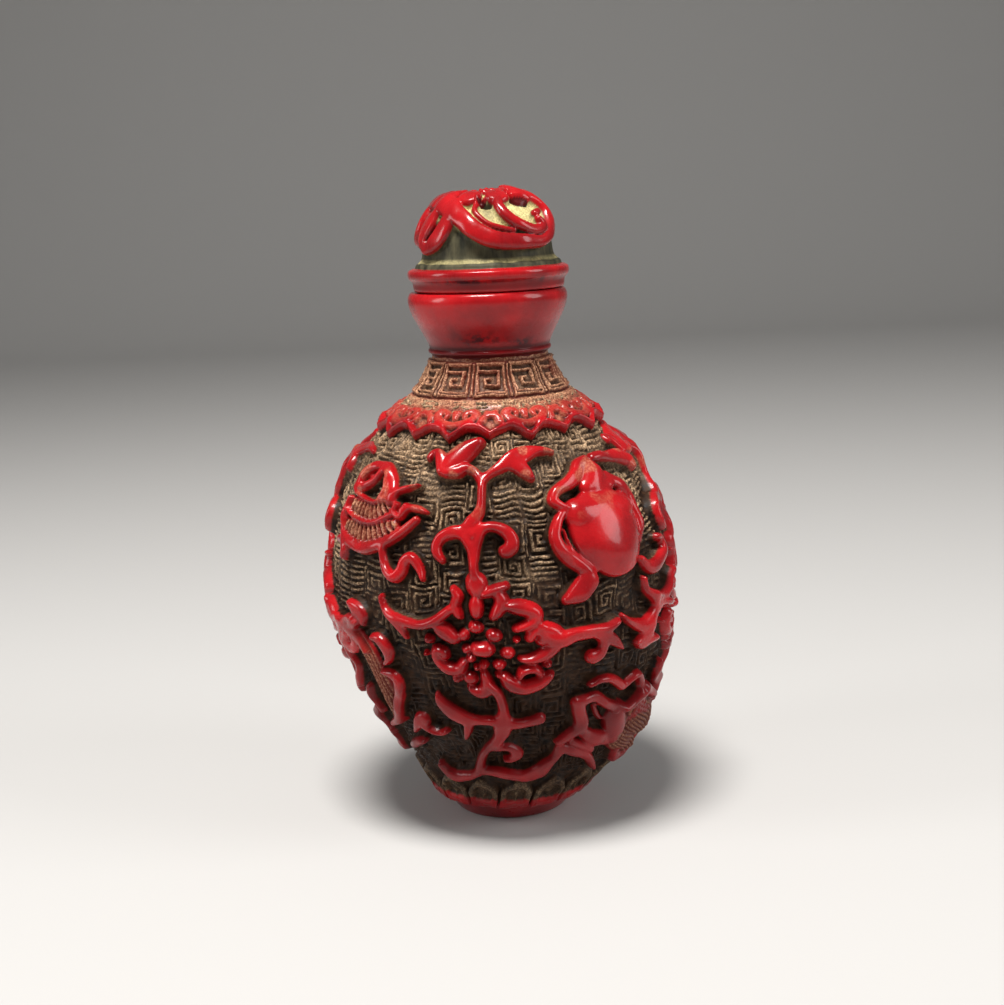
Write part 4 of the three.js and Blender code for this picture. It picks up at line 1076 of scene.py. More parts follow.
def ring_tree(name):
    """Repeats a unit wedge round Z, welds it into one ring and makes it uneven, as by hand."""
    tree = bpy.data.node_groups.new(name, "GeometryNodeTree")
    for label, kind in RING_INPUTS.items():
        tree.interface.new_socket(label, in_out="INPUT", socket_type="NodeSocket" + kind)
    tree.interface.new_socket("Geometry", in_out="OUTPUT", socket_type="NodeSocketGeometry")
    given = node(tree, "NodeGroupInput").outputs
    stations = node(tree, "GeometryNodeMeshLine", {"Offset": (0, 0, 0)}, {"Count": given["Count"]})
    step = node(tree, "ShaderNodeMath", {"operation": "DIVIDE", 0: 2 * math.pi}, {1: given["Count"]})
    turn = node(tree, "ShaderNodeMath", {"operation": "MULTIPLY"},
                {0: node(tree, "GeometryNodeInputIndex").outputs[0], 1: step.outputs[0]})
    spin = node(tree, "ShaderNodeCombineXYZ", links={"Z": turn.outputs[0]})
    copies = node(tree, "GeometryNodeInstanceOnPoints",
                  links={"Points": stations.outputs[0], "Instance": given["Geometry"],
                         "Rotation": spin.outputs[0]})
    solid = node(tree, "GeometryNodeRealizeInstances", links={"Geometry": copies.outputs[0]})
    welded = node(tree, "GeometryNodeMergeByDistance",
                  links={"Geometry": solid.outputs[0], "Distance": given["Weld"]})
    noise = node(tree, "ShaderNodeTexNoise", {"noise_dimensions": "4D", "Detail": 2.0},
                 {"W": given["Seed"], "Scale": given["Noise Scale"]})
    centred = node(tree, "ShaderNodeVectorMath", {"operation": "SUBTRACT", 1: (0.5, 0.5, 0.5)},
                   {0: noise.outputs["Color"]})
    push = node(tree, "ShaderNodeVectorMath", {"operation": "SCALE"},
                {0: centred.outputs[0], "Scale": given["Unevenness"]})
    moved = node(tree, "GeometryNodeSetPosition",
                 links={"Geometry": welded.outputs[0], "Offset": push.outputs[0]})
    smooth = node(tree, "GeometryNodeSetShadeSmooth", links={"Geometry": moved.outputs[0]})
    joined = node(tree, "GeometryNodeRealizeInstances", links={"Geometry": smooth.outputs[0]})
    painted = node(tree, "GeometryNodeSetMaterial",
                   links={"Geometry": joined.outputs[0], "Material": given["Material"]})
    node(tree, "NodeGroupOutput", links={"Geometry": painted.outputs[0]})
    return tree


def ring_unit(name, count, s_low, s_high, cell, relief, inner_radius):
    """One wedge of a ring: relief(x, s, width) gives height, and finish with painted shade, over the ground.

    x runs from -0.5 to 0.5 across the unit, and width is the unit's own at each row. The
    wedge is open at its two cut sides, where its copies are welded on, and closed
    everywhere else.
    """
    s = np.linspace(s_low, s_high, max(6, round((s_high - s_low) / cell)))
    z, r, up, out = ground(s)
    columns = max(8, round(2 * math.pi * r.max() / count / cell)) + 1
    x = np.linspace(-0.5, 0.5, columns)
    xx, ss = np.meshgrid(x, s)
    height, finish_and_shade = relief(xx, ss, (2 * math.pi * r / count)[:, None])
    angle = (2 * math.pi / count) * x
    radius, level = r[:, None] + height * out[:, None], z[:, None] + height * up[:, None]
    outer = cylinder_points(angle[None, :], radius, level)
    core_z = np.linspace(z[-1], z[0], 5)
    inner = cylinder_points(angle[None, :], inner_radius(core_z)[:, None], core_z[:, None])
    points = np.concatenate([outer, inner])
    rows = len(points)
    at = np.arange(rows * columns).reshape(rows, columns)
    faces = [grid_faces(0, columns, rows, closed=False), bridging_faces(at[-1], at[0])]
    return make_mesh(name, points.reshape(-1, 3), faces, with_inside(finish_and_shade, inner[..., 0].size))


def ring_piece(name, unit, count, unevenness, noise_scale, seed):
    """Runs the ring tree on a unit and keeps the result as one plain swayed mesh."""
    material = lacquer_material()
    modifier = unit.modifiers.new("ring", "NODES")
    modifier.node_group = ring_tree(name + "_ring")
    sockets = {item.name: item.identifier for item in modifier.node_group.interface.items_tree
               if item.in_out == "INPUT"}
    values = {"Count": count, "Unevenness": unevenness * MM, "Noise Scale": noise_scale, "Seed": seed,
              "Weld": 0.01 * MM, "Material": material}
    for key, value in values.items():
        modifier[sockets[key]] = value
    depsgraph = bpy.context.evaluated_depsgraph_get()
    mesh = bpy.data.meshes.new_from_object(unit.evaluated_get(depsgraph), depsgraph=depsgraph)
    piece = bpy.data.objects.new(name, mesh)
    mesh.name = name
    bpy.context.scene.collection.objects.link(piece)
    bpy.data.objects.remove(unit)

    # The ring is made round Z, so the bottle's lean comes last.
    points = np.empty(len(mesh.vertices) * 3)
    mesh.vertices.foreach_get("co", points)
    points = points.reshape(-1, 3)
    points[:, 0] += sway(points[:, 2] / MM) * MM
    mesh.vertices.foreach_set("co", points.ravel())
    mesh.update()
    dressed(piece, "bottle", material)


def band_height(x, y, width, points, height):
    """Height of one stroke drawn in the unit's own mm: x from its middle, y from its base."""
    outside, half = nearest_on(spline(points, 5), x * width, y)[:2]
    return height * section(outside, np.maximum(half, 0.15), "round")


def finish_and_shade_of(height, lacquer, pale, cell, reach):
    """Finish and painted shade of a ring: what lies lower than its surroundings within reach gets painted
    shade.
    """
    soft = blurred(height, reach / cell, closed=False)
    fine = height - blurred(height, 0.3 / cell, closed=False)
    return {
        "lacquer": lacquer,
        "painted_shade": np.clip((soft - height) / 0.3, 0, 1),
        "ridge": np.clip(0.4 + fine / 0.12, 0, 1),
        "pale": pale,
        "stain": np.zeros_like(height),
    }


COLLAR_CELL = 0.13       # from one point of the grid to the next
COLLAR_BELOW = 0.3       # how far the collar's ring runs on below its points
COLLAR_ABOVE = 0.25      # and above its top, where the neck stands on it
COLLAR_ROOT = 0.6        # how deep the ring reaches into the ground
NOTCH = 1.6              # how far the collar's lower edge climbs between two points
PENDANT_RISE = 0.35      # how much higher a pendant's point ends than a lappet's
CURL_RISE = 0.6          # height of the curls on the lappets
# Curls on half a lappet: (away from the lappet's point line, above its tip, half width).
COLLAR_CURLS = [
    [(0.1, 2.3, 0.42), (1.0, 2.5, 0.5), (1.9, 3.0, 0.54), (2.4, 3.8, 0.5), (1.9, 4.5, 0.44), (1.1, 4.2, 0.34),
     (1.2, 3.6, 0.26)],
    [(0.0, 3.3, 0.26), (0.2, 4.4, 0.3)],
    [(3.3, 2.9, 0.36), (3.5, 3.8, 0.38), (4.5, 4.2, 0.42)],
]


def collar_relief(thickness):
    """Half a lappet at each side and a pendant between them, all with one thick scalloped rim."""
    tip, top = s_of(COLLAR_TIP_Z), s_of(COLLAR_TOP_Z)

    def relief(x, s, width):
        y = s - tip
        notches = np.sin(2 * math.pi * np.abs(x)) ** 1.3
        above = y - NOTCH * notches - PENDANT_RISE * smoothstep(0.25, 0.0, np.abs(x))
        plate = smoothstep(-0.12, 0.12, above)
        rim = line_at(above, 0.6, 0.46)
        thin = 1 - 0.7 * smoothstep(1.6, top - tip - 0.6, y)
        curls = np.zeros_like(x)
        for side in (-1, 1):
            for line in COLLAR_CURLS:
                mirrored = [(-away * side, above_tip, half) for away, above_tip, half in line]
                curls = np.maximum(curls, band_height(x - 0.5 * side, y, width, mirrored, CURL_RISE))
        band = line_at(y, top - tip - 0.2, 0.14)
        height = plate * (thickness * (0.5 * thin + 0.5 * rim) + curls * (1 - rim)) + 0.18 * band
        shoulder = smoothstep(top - tip - 0.8, top - tip - 0.3, y)
        field = smoothstep(1.1, 1.6, above)
        pale = np.clip(shoulder + (0.75 - 0.6 * curls / CURL_RISE) * field, 0, 1)
        finish_and_shade = finish_and_shade_of(height, plate, pale, COLLAR_CELL, 0.45)
        finish_and_shade["ridge"] = np.maximum(finish_and_shade["ridge"], 0.7 * field)
        return height, finish_and_shade

    return relief


def under_collar(z):
    """Radius of the collar's hidden face, just under the ground."""
    return ground_radius(z) - COLLAR_ROOT


class SNUFF_OT_collar(bpy.types.Operator):
    """Collar of pointed lappets round the shoulder"""
    bl_idname = "snuff.collar"
    bl_label = "Collar"

    def execute(self, context):
        sizes = context.scene.snuff_sizes
        low, high = s_of(COLLAR_TIP_Z) - COLLAR_BELOW, s_of(COLLAR_TOP_Z) + COLLAR_ABOVE
        unit = ring_unit("collar_unit", sizes.lappets, low, high, COLLAR_CELL,
                         collar_relief(sizes.collar_relief / MM), under_collar)
        ring_piece("collar", unit, sizes.lappets, unevenness=0.55, noise_scale=450.0, seed=3.0)
        return {"FINISHED"}


NECK_CELL = 0.11         # from one point of the grid to the next
SPIRAL_ASIDE = 0.1       # how far the spiral stands off its panel's middle
SPIRAL_NARROW = 0.96     # below 1, the spiral is a little wider than high


def neck_relief(x, s, width):
    """One panel of key fret: a squared spiral in a frame, with a post between two panels."""
    low, high = s_of(COLLAR_TOP_Z), s_of(NECK_TOP_Z)
    y, half = s - (low + high) / 2, 0.37 * (high - low)
    run = square_spiral((x * width + SPIRAL_ASIDE) * SPIRAL_NARROW, y, 1.0)
    spiral = smoothstep(0.5, 1.0, 0.5 + 0.5 * np.cos(2 * math.pi * run))
    inside = (np.abs(x) < 0.34) & (np.abs(y) < half - 0.5)
    border = line_at(np.maximum(np.abs(x) / 0.40, np.abs(y) / half), 0.96, 0.085)
    post = line_at(np.abs(x), 0.5, 0.04) * (np.abs(y) < half)
    fret = np.maximum.reduce([np.where(inside, spiral, 0), border, 0.7 * post])
    lines = np.maximum(line_at(s, low + 0.2, 0.16), line_at(s, high - 0.75, 0.22))
    height = 0.52 * fret + 0.14 * lines
    hollow = smoothstep(0.3, 0.1, height) * (np.abs(y) < half)
    finish_and_shade = finish_and_shade_of(height, 0.9 - 0.4 * hollow, np.ones_like(height), NECK_CELL, 0.35)
    rough_bands = smoothstep(half + 0.1, half + 0.5, np.abs(y))
    finish_and_shade["ridge"] = np.maximum(np.clip(1.5 * finish_and_shade["ridge"] - 0.35, 0, 1), 0.55 * rough_bands)
    return height, finish_and_shade


def bore_wall(z):
    """Radius of the bore at every height."""
    return np.full_like(z, BORE_RADIUS)


class SNUFF_OT_neck(bpy.types.Operator):
    """Neck with its band of key fret"""
    bl_idname = "snuff.neck"
    bl_label = "Neck Fret"

    def execute(self, context):
        sizes = context.scene.snuff_sizes
        unit = ring_unit("neck_unit", sizes.frets, s_of(COLLAR_TOP_Z) - OVERLAP, s_of(NECK_TOP_Z), NECK_CELL,
                         neck_relief, bore_wall)
        ring_piece("neck_fret", unit, sizes.frets, unevenness=0.55, noise_scale=700.0, seed=7.0)
        return {"FINISHED"}


PETAL_CELL = 0.15        # from one point of the grid to the next


def petal_relief(thickness):
    """One round-topped petal of the foot: a raised rim round a dark hollow with a vein."""
    low, high = s_of(FOOT_TOP_Z), s_of(PETAL_TOP_Z)

    def relief(x, s, width):
        y = (s - low) / (high - low)
        away = np.abs(x)
        top = 0.86 - 1.5 * away ** 1.8
        plate = smoothstep(top + 0.07, top - 0.05, y) * smoothstep(0.5, 0.44, away)
        heart = smoothstep(0.33, 0.22, away) * smoothstep(top - 0.12, top - 0.28, y)
        heart = heart * smoothstep(0.16, 0.3, y)
        vein = line_at(x, 0, 0.06) * smoothstep(0.55, 0.3, y)
        height = thickness * plate * (1 - 0.75 * heart + 0.35 * heart * vein)
        red = plate * (1 - heart) * smoothstep(0.66, 0.30, y + 0.5 * away)
        finish_and_shade = finish_and_shade_of(height, red, 0.3 * heart * (1 - vein), PETAL_CELL, 0.6)
        finish_and_shade["ridge"] = 0.55 * finish_and_shade["ridge"]
        # Painted shade over all of the petals, low on the bottle.
        finish_and_shade["painted_shade"] = np.maximum(finish_and_shade["painted_shade"], 0.35)
        return height, finish_and_shade

    return relief


def foot_core(z):
    """Radius of the petals' hidden face, just inside the foot's core."""
    return np.full_like(z, CORE_RADIUS - OVERLAP)


class SNUFF_OT_petals(bpy.types.Operator):
    """Ring of petals that rises from the foot"""
    bl_idname = "snuff.petals"
    bl_label = "Foot Petals"

    def execute(self, context):
        sizes = context.scene.snuff_sizes
        unit = ring_unit("petal_unit", sizes.petals, s_of(FOOT_TOP_Z), s_of(PETAL_TOP_Z), PETAL_CELL,
                         petal_relief(sizes.petal_relief / MM), foot_core)
        ring_piece("foot_petals", unit, sizes.petals, unevenness=0.6, noise_scale=450.0, seed=11.0)
        return {"FINISHED"}


# ---- turned pieces ---------------------------------------------------------

def turns(sides):
    """Angles of equal steps round a turned piece."""
    return 2 * math.pi * np.arange(sides) / sides


def from_front(angle):
    """The angle counted both ways from the front, between -pi and pi."""
    return (angle + math.pi) % (2 * math.pi) - math.pi


def turned_piece(name, profile, sides, finish_and_shade, closed_profile):
    """Lathe piece from (z, r) rows that climb outside; the ends meet or are closed flat.

    finish_and_shade(z, r, angle) gives the attributes of finish and painted shade that are not zero.
    """
    line = np.asarray(profile, float)
    z, r, angle, rows = line[:, :1], line[:, 1:], turns(sides), len(line)
    points = cylinder_points(angle[None, :], r, z)
    points[..., 0] += sway(z)
    flat = points.reshape(-1, 3)
    faces = [grid_faces(0, sides, rows, closed=True)]
    if closed_profile:
        k = np.arange(sides)
        after, last = (k + 1) % sides, (rows - 1) * sides
        faces.append(np.stack([last + k, last + after, after, k], -1))
    else:
        flat = with_centres(points)
        faces += end_fans(rows, sides)
    given = finish_and_shade(z, r, from_front(angle)[None, :])
    attributes = {}
    for key in FINISH_AND_SHADE:
        values = np.broadcast_to(given.get(key, 0.0), (rows, sides)).ravel()
        attributes[key] = np.concatenate([values, np.full(len(flat) - len(values), values[0])])
    piece = make_mesh(name, flat, faces, attributes)
    dressed(piece, "bottle", lacquer_material())


def blotch(z, angle, place, size):
    """1 at (height, degrees) place, fading over size in mm and degrees."""
    return np.exp(-((z - place[0]) / size[0]) ** 2 - ((np.degrees(angle) - place[1]) / size[1]) ** 2)


class SNUFF_OT_mouth(bpy.types.Operator):
    """Cup-shaped mouth with the bore through it"""
    bl_idname = "snuff.mouth"
    bl_label = "Mouth"

    def execute(self, context):
        # Profile of (height, radius): up the outside, over the rim and down the bore.
        base = NECK_TOP_Z - 2 * OVERLAP
        outside = spline([(base, 7.45), (61.75, 7.6), (62.0, 7.95), (62.35, 8.0), (62.6, 7.85), (63.4, 8.1),
                          (64.6, 8.7), (66.6, 9.75), (68.0, 10.25), (68.9, 10.35), (MOUTH_Z - 0.35, 10.2),
                          (MOUTH_Z - 0.05, 9.95), (MOUTH_Z, 9.7)], 6)
        rim = spline([(MOUTH_Z, 9.7), (MOUTH_Z, 6.5), (MOUTH_Z - 0.03, 4.9),
                      (MOUTH_Z - 0.3, BORE_RADIUS + 0.1), (MOUTH_Z - 0.8, BORE_RADIUS)], 5)[1:]
        bore = [(z, BORE_RADIUS) for z in np.linspace(MOUTH_Z - 2, base, 8)]

        def finish_and_shade(z, r, angle):
            # Painted shade in the grooves, down the bore, and over the lower cup, which faces down.
            groove = line_at(z, 61.75, 0.3) + 0.5 * line_at(z, 62.75, 0.35)
            inside = (r < BORE_RADIUS + 0.5) * 1.0
            low = smoothstep(68.5, 64.0, z)
            painted_shade = np.clip(0.8 * groove + 0.7 * inside + 0.42 * low, 0, 1)
            spilt = np.maximum(blotch(z, angle, (64.0, -8), (0.9, 22)),
                               blotch(z, angle, (63.4, 30), (0.6, 16)))
            return {"lacquer": 1.0, "painted_shade": painted_shade, "stain": 0.9 * spilt}

        turned_piece("mouth", np.concatenate([outside, rim, bore]), 160, finish_and_shade, closed_profile=True)
        return {"FINISHED"}


class SNUFF_OT_foot(bpy.types.Operator):
    """Turned foot and the floor of the hollow"""
    bl_idname = "snuff.foot"
    bl_label = "Foot"

    def execute(self, context):
        # Profile of (height, radius): out underneath, up the side, and in over the core.
        hidden_z = 3.5
        under = [(0.0, r) for r in (0.6, 3.0, 5.5, 6.8)]
        side = spline([(0.0, 7.1), (0.12, 7.45), (0.5, 7.85), (1.2, 8.45), (2.2, 9.3), (2.9, 9.75),
                       (3.2, 9.85), (3.45, 9.6), (hidden_z, 9.2)], 5)
        core = [(hidden_z, CORE_RADIUS), (HOLLOW_FLOOR_Z, CORE_RADIUS), (HOLLOW_FLOOR_Z, 3.0),
                (HOLLOW_FLOOR_Z, 0.6)]

        def finish_and_shade(z, r, angle):
            # Painted shade over all of the foot, darker still on the shelf where the petals stand on it.
            shelf = z > 3.2      # dark where the petals stand on it
            return {"lacquer": 1.0, "painted_shade": 0.42 + 0.4 * shelf}

        turned_piece("foot", np.concatenate([under, side, core]), 128, finish_and_shade, closed_profile=False)
        return {"FINISHED"}


# ---- the stopper -----------------------------------------------------------

# The plain dome, from the flange to the top: (height, radius).
DOME = [(72.9, 9.45), (73.3, 9.3), (73.6, 8.9), (74.2, 8.5), (75.4, 8.35), (76.4, 8.25), (77.4, 7.95),
        (78.4, 7.5), (79.3, 6.9), (80.1, 6.1), (80.8, 5.1), (81.3, 3.9), (81.6, 2.6), (81.75, 1.3),
        (81.8, 0.1)]
STOPPER_CELL = 0.165     # from one point of the dome's profile to the next
STOPPER_COLUMNS = 330
PLUG_LENGTH = 7.5        # how far the plug hangs in the bore
DOME_SWELL = 0.05        # how far the dome rises and falls under the ribbons

# Ribbons over the dome: [(angle in degrees, height, half width)], how high they stand.
DOME_RIBBONS = [
    ([(-56, 79.8, 0.6), (-61, 79.0, 1.05), (-62, 77.8, 1.3), (-65, 76.6, 1.15), (-61, 75.7, 0.8)], 1.1),
    ([(-59, 75.4, 0.8), (-50, 76.1, 1.1), (-43, 77.1, 1.2), (-39, 78.0, 1.05), (-39, 78.6, 0.7)], 1.1),
    ([(-100, 80.4, 1.2), (-76, 80.7, 1.5), (-50, 80.3, 1.35), (-26, 79.0, 1.05), (-11, 77.5, 1.0),
      (5, 76.3, 0.95), (20, 75.9, 0.9), (36, 75.8, 0.8), (50, 75.8, 0.65), (62, 76.6, 0.6)], 1.35),
    ([(2, 80.9, 0.24), (-8, 80.5, 0.26), (-12, 79.8, 0.26), (-5, 78.8, 0.27), (4, 78.0, 0.3),
      (13, 77.6, 0.32), (24, 77.2, 0.28)], 0.7),
    ([(70, 81.6, 0.55), (24, 81.3, 0.55), (15, 80.4, 0.52), (17, 79.3, 0.55), (26, 78.1, 0.58),
      (37, 77.4, 0.6), (47, 77.1, 0.55), (56, 77.5, 0.5), (53, 78.2, 0.38)], 1.2),
    ([(54, 78.9, 0.42), (60, 79.1, 0.4)], 1.0),
    ([(62, 76.6, 0.6), (73, 77.9, 0.7), (80, 79.3, 0.75), (76, 80.5, 0.8), (62, 81.2, 0.8),
      (70, 81.6, 0.8)], 1.35),
    ([(70, 81.6, 0.7), (180, 81.7, 0.6), (-110, 81.4, 0.9), (-84, 80.9, 1.2)], 0.95),
    ([(-100, 80.6, 1.3), (-140, 80.9, 1.4), (180, 81.0, 1.3)], 1.2),
    ([(100, 80.2, 1.0), (112, 78.6, 0.9), (126, 76.9, 0.85), (146, 76.0, 0.85), (168, 76.2, 0.8),
      (184, 77.4, 0.85), (192, 79.2, 1.0), (182, 80.8, 1.2)], 1.25),
    ([(80, 80.4, 1.0), (100, 80.6, 1.1), (130, 81.2, 1.1), (182, 81.2, 1.2)], 1.2),
    ([(198, 80.6, 0.9), (210, 78.6, 0.9), (222, 76.9, 0.85), (244, 76.0, 0.85), (262, 76.4, 0.8),
      (270, 77.6, 0.8), (266, 79.4, 0.9), (256, 80.6, 1.1)], 1.2),
    ([(138, 79.8, 0.45), (146, 78.4, 0.5), (160, 77.9, 0.5), (170, 78.8, 0.5), (162, 79.8, 0.4)], 0.95),
    ([(226, 79.8, 0.45), (236, 78.4, 0.5), (250, 78.2, 0.45), (252, 79.3, 0.4)], 0.95),
]
# Slits and hollows between them, given the same way, with how deep they lie.
DOME_PITS = [
    ([(-8, 80.8, 0.2), (-2, 80.4, 0.36), (5, 80.3, 0.2)], 0.8),
    ([(34, 80.9, 0.2), (44, 80.7, 0.36), (58, 80.3, 0.24)], 0.8),
    ([(-47, 78.6, 0.16), (-51, 77.5, 0.22), (-57, 76.4, 0.16)], 0.9),
    ([(150, 80.2, 0.3), (158, 80.0, 0.3)], 0.6),
]


def dome_radius(z):
    """Radius of the plain dome at height z."""
    heights, radii = zip(*DOME)
    return np.interp(z, heights, radii)


def ribbon_relief(points, ribbons):
    """Height and mask of ribbons at places on the plain dome, by true distance."""
    shape = points.shape[:-1]
    flat = points.reshape(-1, 3)
    height, mask = np.zeros(len(flat)), np.zeros(len(flat))
    for controls, rise in ribbons:
        line = spline(controls, 10)
        place = cylinder_points(np.radians(line[:, 0]), dome_radius(line[:, 1]), line[:, 1])
        outside, width = np.full(len(flat), np.inf), np.ones(len(flat))
        for centre, half in zip(place, line[:, 2]):
            away = np.linalg.norm(flat - centre, axis=1) - half
            closer = away < outside
            outside, width = np.where(closer, away, outside), np.where(closer, half, width)
        height = np.maximum(height, rise * section(outside, width, "round"))
        mask = np.maximum(mask, 1 - smoothstep(0.0, 0.2, outside))
    return height.reshape(shape), mask.reshape(shape)


def plug_and_flange():
    """Profile (z, r) of the plug that hangs in the bore and of the flange on the rim."""
    base = FLANGE_Z - PLUG_LENGTH
    plug = [(base, 0.5), (base, 2.6), (base + 0.1, 3.2), (base + 0.8, PLUG_RADIUS),
            (FLANGE_Z - 0.1, PLUG_RADIUS), (FLANGE_Z, PLUG_RADIUS + 0.2)]
    flange = spline([(FLANGE_Z, 9.2), (FLANGE_Z + 0.04, 9.6), (FLANGE_Z + 0.3, 9.75), (70.9, 9.85),
                     (71.25, 10.05), (71.6, 10.35), (72.1, 10.45), (72.5, 10.35), (72.72, 10.0),
                     (72.8, 9.6)], 5)
    return np.concatenate([plug, flange])


def dome_profile():
    """Profile (z, r) of the dome in even steps, and how far each step lies along it."""
    line = spline(DOME, 12)
    run = run_along(line)
    even = np.linspace(0, run[-1], round(run[-1] / STOPPER_CELL))
    return np.stack([np.interp(even, run, line[:, 0]), np.interp(even, run, line[:, 1])], -1), even


def carved_dome(dome, run, angle):
    """Points of the dome under its ribbons, their lift, and the masks of ribbons and hollows."""
    points = cylinder_points(angle[None, :], dome[:, 1:], dome[:, :1])
    rise, ribbon = ribbon_relief(points, DOME_RIBBONS)
    depth, pit = ribbon_relief(points, DOME_PITS)
    swell = DOME_SWELL * ripples(*np.meshgrid(angle * BELLY_UNIT, run), 9.0, 77)
    lift = rise - depth + swell * smoothstep(0.4, 1.4, dome[:, 1:])
    slope = np.gradient(dome, axis=0)
    length = np.hypot(slope[:, :1], slope[:, 1:])
    out, up = slope[:, :1] / length, -slope[:, 1:] / length
    radial = cylinder_points(angle[None, :], np.ones((len(dome), 1)), np.zeros((len(dome), 1)))
    points += radial * (lift * out)[..., None]
    points[..., 2] += lift * up
    return points, lift, ribbon, pit


def dome_finish_and_shade(z, angle, lift, ribbon, pit):
    """Finish and painted shade of the dome: red ribbons over olive, with cream in open hollows and on the
    ledge, and painted shade in recesses and pits.
    """
    side = np.degrees(angle)
    hollows = np.maximum(smoothstep(-40, -20, side), smoothstep(-150, -170, side))
    ear = blotch(z, angle, (79.0, -48), (0.9, 12))
    ledge = line_at(z, 73.6, 0.55) * (1 - 0.9 * line_at(z, 73.35, 0.12))
    cream = np.clip(1.3 * smoothstep(76.9, 78.0, z) * hollows + ear + 0.7 * ledge, 0, 1) * (1 - pit)
    # Painted shade in the recesses between ribbons and in the pits, but not over the cream.
    soft = blurred(lift, 0.7 / STOPPER_CELL)
    recess = np.clip((soft - lift) / 0.7 + pit, 0, 1)
    return {"lacquer": ribbon, "painted_shade": recess * (1 - 0.9 * cream), "ridge": cream * (1 - ribbon)}


def flange_finish_and_shade(z, angle):
    """Finish and painted shade of plug and flange: plain red, with painted shade under the flange's edge,
    and old stains.
    """
    stain = np.maximum.reduce([
        blotch(z, angle, (71.3, -18), (0.35, 30)),
        0.8 * blotch(z, angle, (71.2, 48), (0.4, 12)),
        0.8 * blotch(z, angle, (71.2, 160), (0.4, 40))])
    # Painted shade under the flange's bead.
    under_edge = 0.5 * smoothstep(71.7, 71.2, z) * smoothstep(69.9, 70.5, z)
    return {"lacquer": 1.0, "painted_shade": under_edge, "stain": stain}


class SNUFF_OT_stopper(bpy.types.Operator):
    """Stopper: plug, flange and a dome under carved ribbons"""
    bl_idname = "snuff.stopper"
    bl_label = "Stopper"

    def execute(self, context):
        lower, (dome, run), angle = plug_and_flange(), dome_profile(), turns(STOPPER_COLUMNS)
        plain = cylinder_points(angle[None, :], lower[:, 1:], lower[:, :1])
        carved, lift, ribbon, pit = carved_dome(dome, run, angle)
        points = np.concatenate([plain, carved])
        points[..., 0] += STOPPER_ASIDE

        around = from_front(angle)[None, :]
        below = flange_finish_and_shade(lower[:, :1], around)
        above = dome_finish_and_shade(dome[:, :1], around, lift, ribbon, pit)
        attributes = {}
        for key in FINISH_AND_SHADE:
            values = np.concatenate([np.broadcast_to(below.get(key, 0.0), plain.shape[:2]),
                                     np.broadcast_to(above.get(key, 0.0), carved.shape[:2])])
            attributes[key] = np.concatenate([values.ravel(), [0.0, values[-1].mean()]])
        rows, columns = points.shape[:2]
        faces = [grid_faces(0, columns, rows, closed=True)] + end_fans(rows, columns)
        piece = make_mesh("stopper_carving", with_centres(points), faces, attributes)
        dressed(piece, "stopper", stopper_material())
        return {"FINISHED"}


# ---- stage -----------------------------------------------------------------

CAMERA_PLACE = (0.72, -204.0, 81.2)      # mm: a close view, from the height of the stopper's top
CAMERA_PITCH = 11.0                      # degrees that it looks down
CAMERA_ROLL = 2.5                        # degrees that it is tipped sideways
FOCAL_SHARE = 1560.0 / 1005.0            # focal length over the picture's height
SENSOR = 36.0                            # mm


def area_light(name, place, aim, size, power, color=(1, 1, 1)):
    """Soft oval light at a place in mm, turned to its aim, with its power in watts."""
    data = bpy.data.lights.new(name, "AREA")
    data.shape, data.size, data.size_y = "ELLIPSE", size[0] * MM, size[1] * MM
    data.energy, data.color = power, color
    light = bpy.data.objects.new(name, data)
    light.location = Vector(place) * MM
    light.rotation_euler = (Vector(aim) - Vector(place)).to_track_quat("-Z", "Y").to_euler()
    bpy.context.scene.collection.objects.link(light)


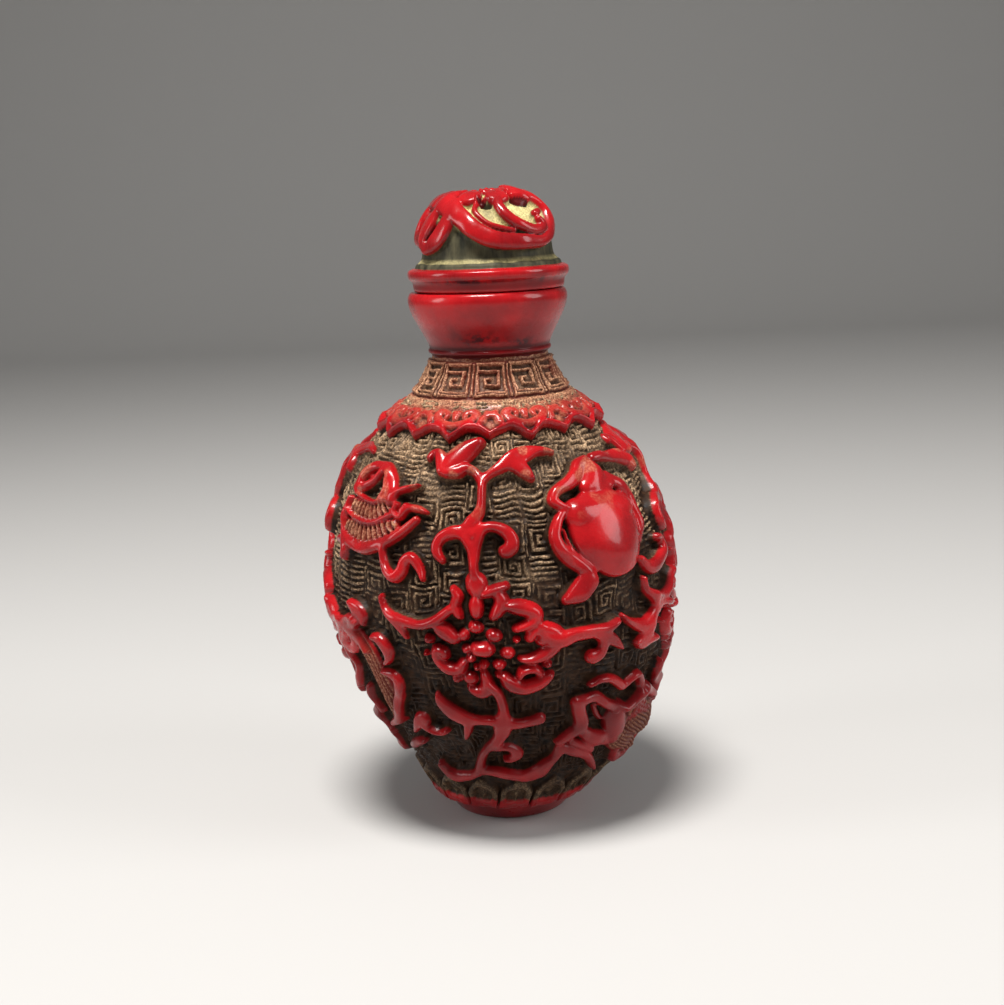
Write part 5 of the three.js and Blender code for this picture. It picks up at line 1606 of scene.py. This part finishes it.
class SNUFF_OT_stage(bpy.types.Operator):
    """Pale floor and backdrop, soft lights and the camera"""
    bl_idname = "snuff.stage"
    bl_label = "Stage"

    def execute(self, context):
        scene = context.scene
        front, depth, bend, height, half = -900.0, 700.0, 300.0, 1200.0, 1500.0
        arc = [(depth + bend * math.sin(angle), bend * (1 - math.cos(angle)))
               for angle in np.linspace(0, math.pi / 2, 16)]
        sweep = [(front, 0.0)] + arc + [(depth + bend, height)]
        points = [(x, y, z) for y, z in sweep for x in (-half, half)]
        faces = np.array([(2 * i, 2 * i + 1, 2 * i + 3, 2 * i + 2) for i in range(len(sweep) - 1)])
        floor = make_mesh("floor", np.array(points), [faces])
        floor.data.materials.append(floor_material())

        area_light("key", (-45, -140, 500), (0, 0, 50), (190, 140), 3.8, (1.0, 0.97, 0.94))
        area_light("right", (390, -130, 230), (0, 0, 40), (200, 300), 0.8)
        area_light("left", (-380, -90, 190), (0, 0, 40), (120, 260), 0.5)
        world = bpy.data.worlds.new("studio")
        world.use_nodes = True
        world.node_tree.nodes["Background"].inputs[0].default_value = (1.0, 0.99, 0.98, 1)
        world.node_tree.nodes["Background"].inputs[1].default_value = 0.17
        scene.world = world

        data = bpy.data.cameras.new("camera")
        data.sensor_width, data.lens = SENSOR, SENSOR * FOCAL_SHARE
        data.clip_start, data.clip_end = 0.01, 10.0
        camera = bpy.data.objects.new("camera", data)
        level = Matrix.Rotation(math.radians(90 - CAMERA_PITCH), 4, "X")
        roll = Matrix.Rotation(math.radians(-CAMERA_ROLL), 4, "Z")
        camera.matrix_world = Matrix.Translation(Vector(CAMERA_PLACE) * MM) @ level @ roll
        scene.collection.objects.link(camera)
        scene.camera = camera
        scene.view_settings.view_transform = "Standard"
        return {"FINISHED"}


# ---- add-on ----------------------------------------------------------------

OPERATORS = (SNUFF_OT_body, SNUFF_OT_collar, SNUFF_OT_neck, SNUFF_OT_petals, SNUFF_OT_mouth, SNUFF_OT_foot,
             SNUFF_OT_stopper, SNUFF_OT_stage)


class SNUFF_PT_panel(bpy.types.Panel):
    """Sizes, colours and the steps that make the bottle"""
    bl_idname = "SNUFF_PT_panel"
    bl_label = "Snuff Bottle"
    bl_space_type = "VIEW_3D"
    bl_region_type = "UI"
    bl_category = "Snuff Bottle"

    def draw(self, context):
        for group in (context.scene.snuff_sizes, context.scene.snuff_colors):
            for key in group.__annotations__:
                self.layout.prop(group, key)
        for operator in OPERATORS:
            self.layout.operator(operator.bl_idname)


CLASSES = (SnuffBottleSizes, SnuffBottleColors) + OPERATORS + (SNUFF_PT_panel,)


def register():
    """Adds the classes, and the sizes and colours to the scene."""
    for cls in CLASSES:
        bpy.utils.register_class(cls)
    bpy.types.Scene.snuff_sizes = bpy.props.PointerProperty(type=SnuffBottleSizes)
    bpy.types.Scene.snuff_colors = bpy.props.PointerProperty(type=SnuffBottleColors)


def unregister():
    """Takes away what register adds."""
    del bpy.types.Scene.snuff_sizes
    del bpy.types.Scene.snuff_colors
    for cls in reversed(CLASSES):
        bpy.utils.unregister_class(cls)


def main():
    """Makes every piece and the stage."""
    register()
    for operator in OPERATORS:
        group, action = operator.bl_idname.split(".")
        getattr(getattr(bpy.ops, group), action)()


if __name__ == "__main__":
    main()
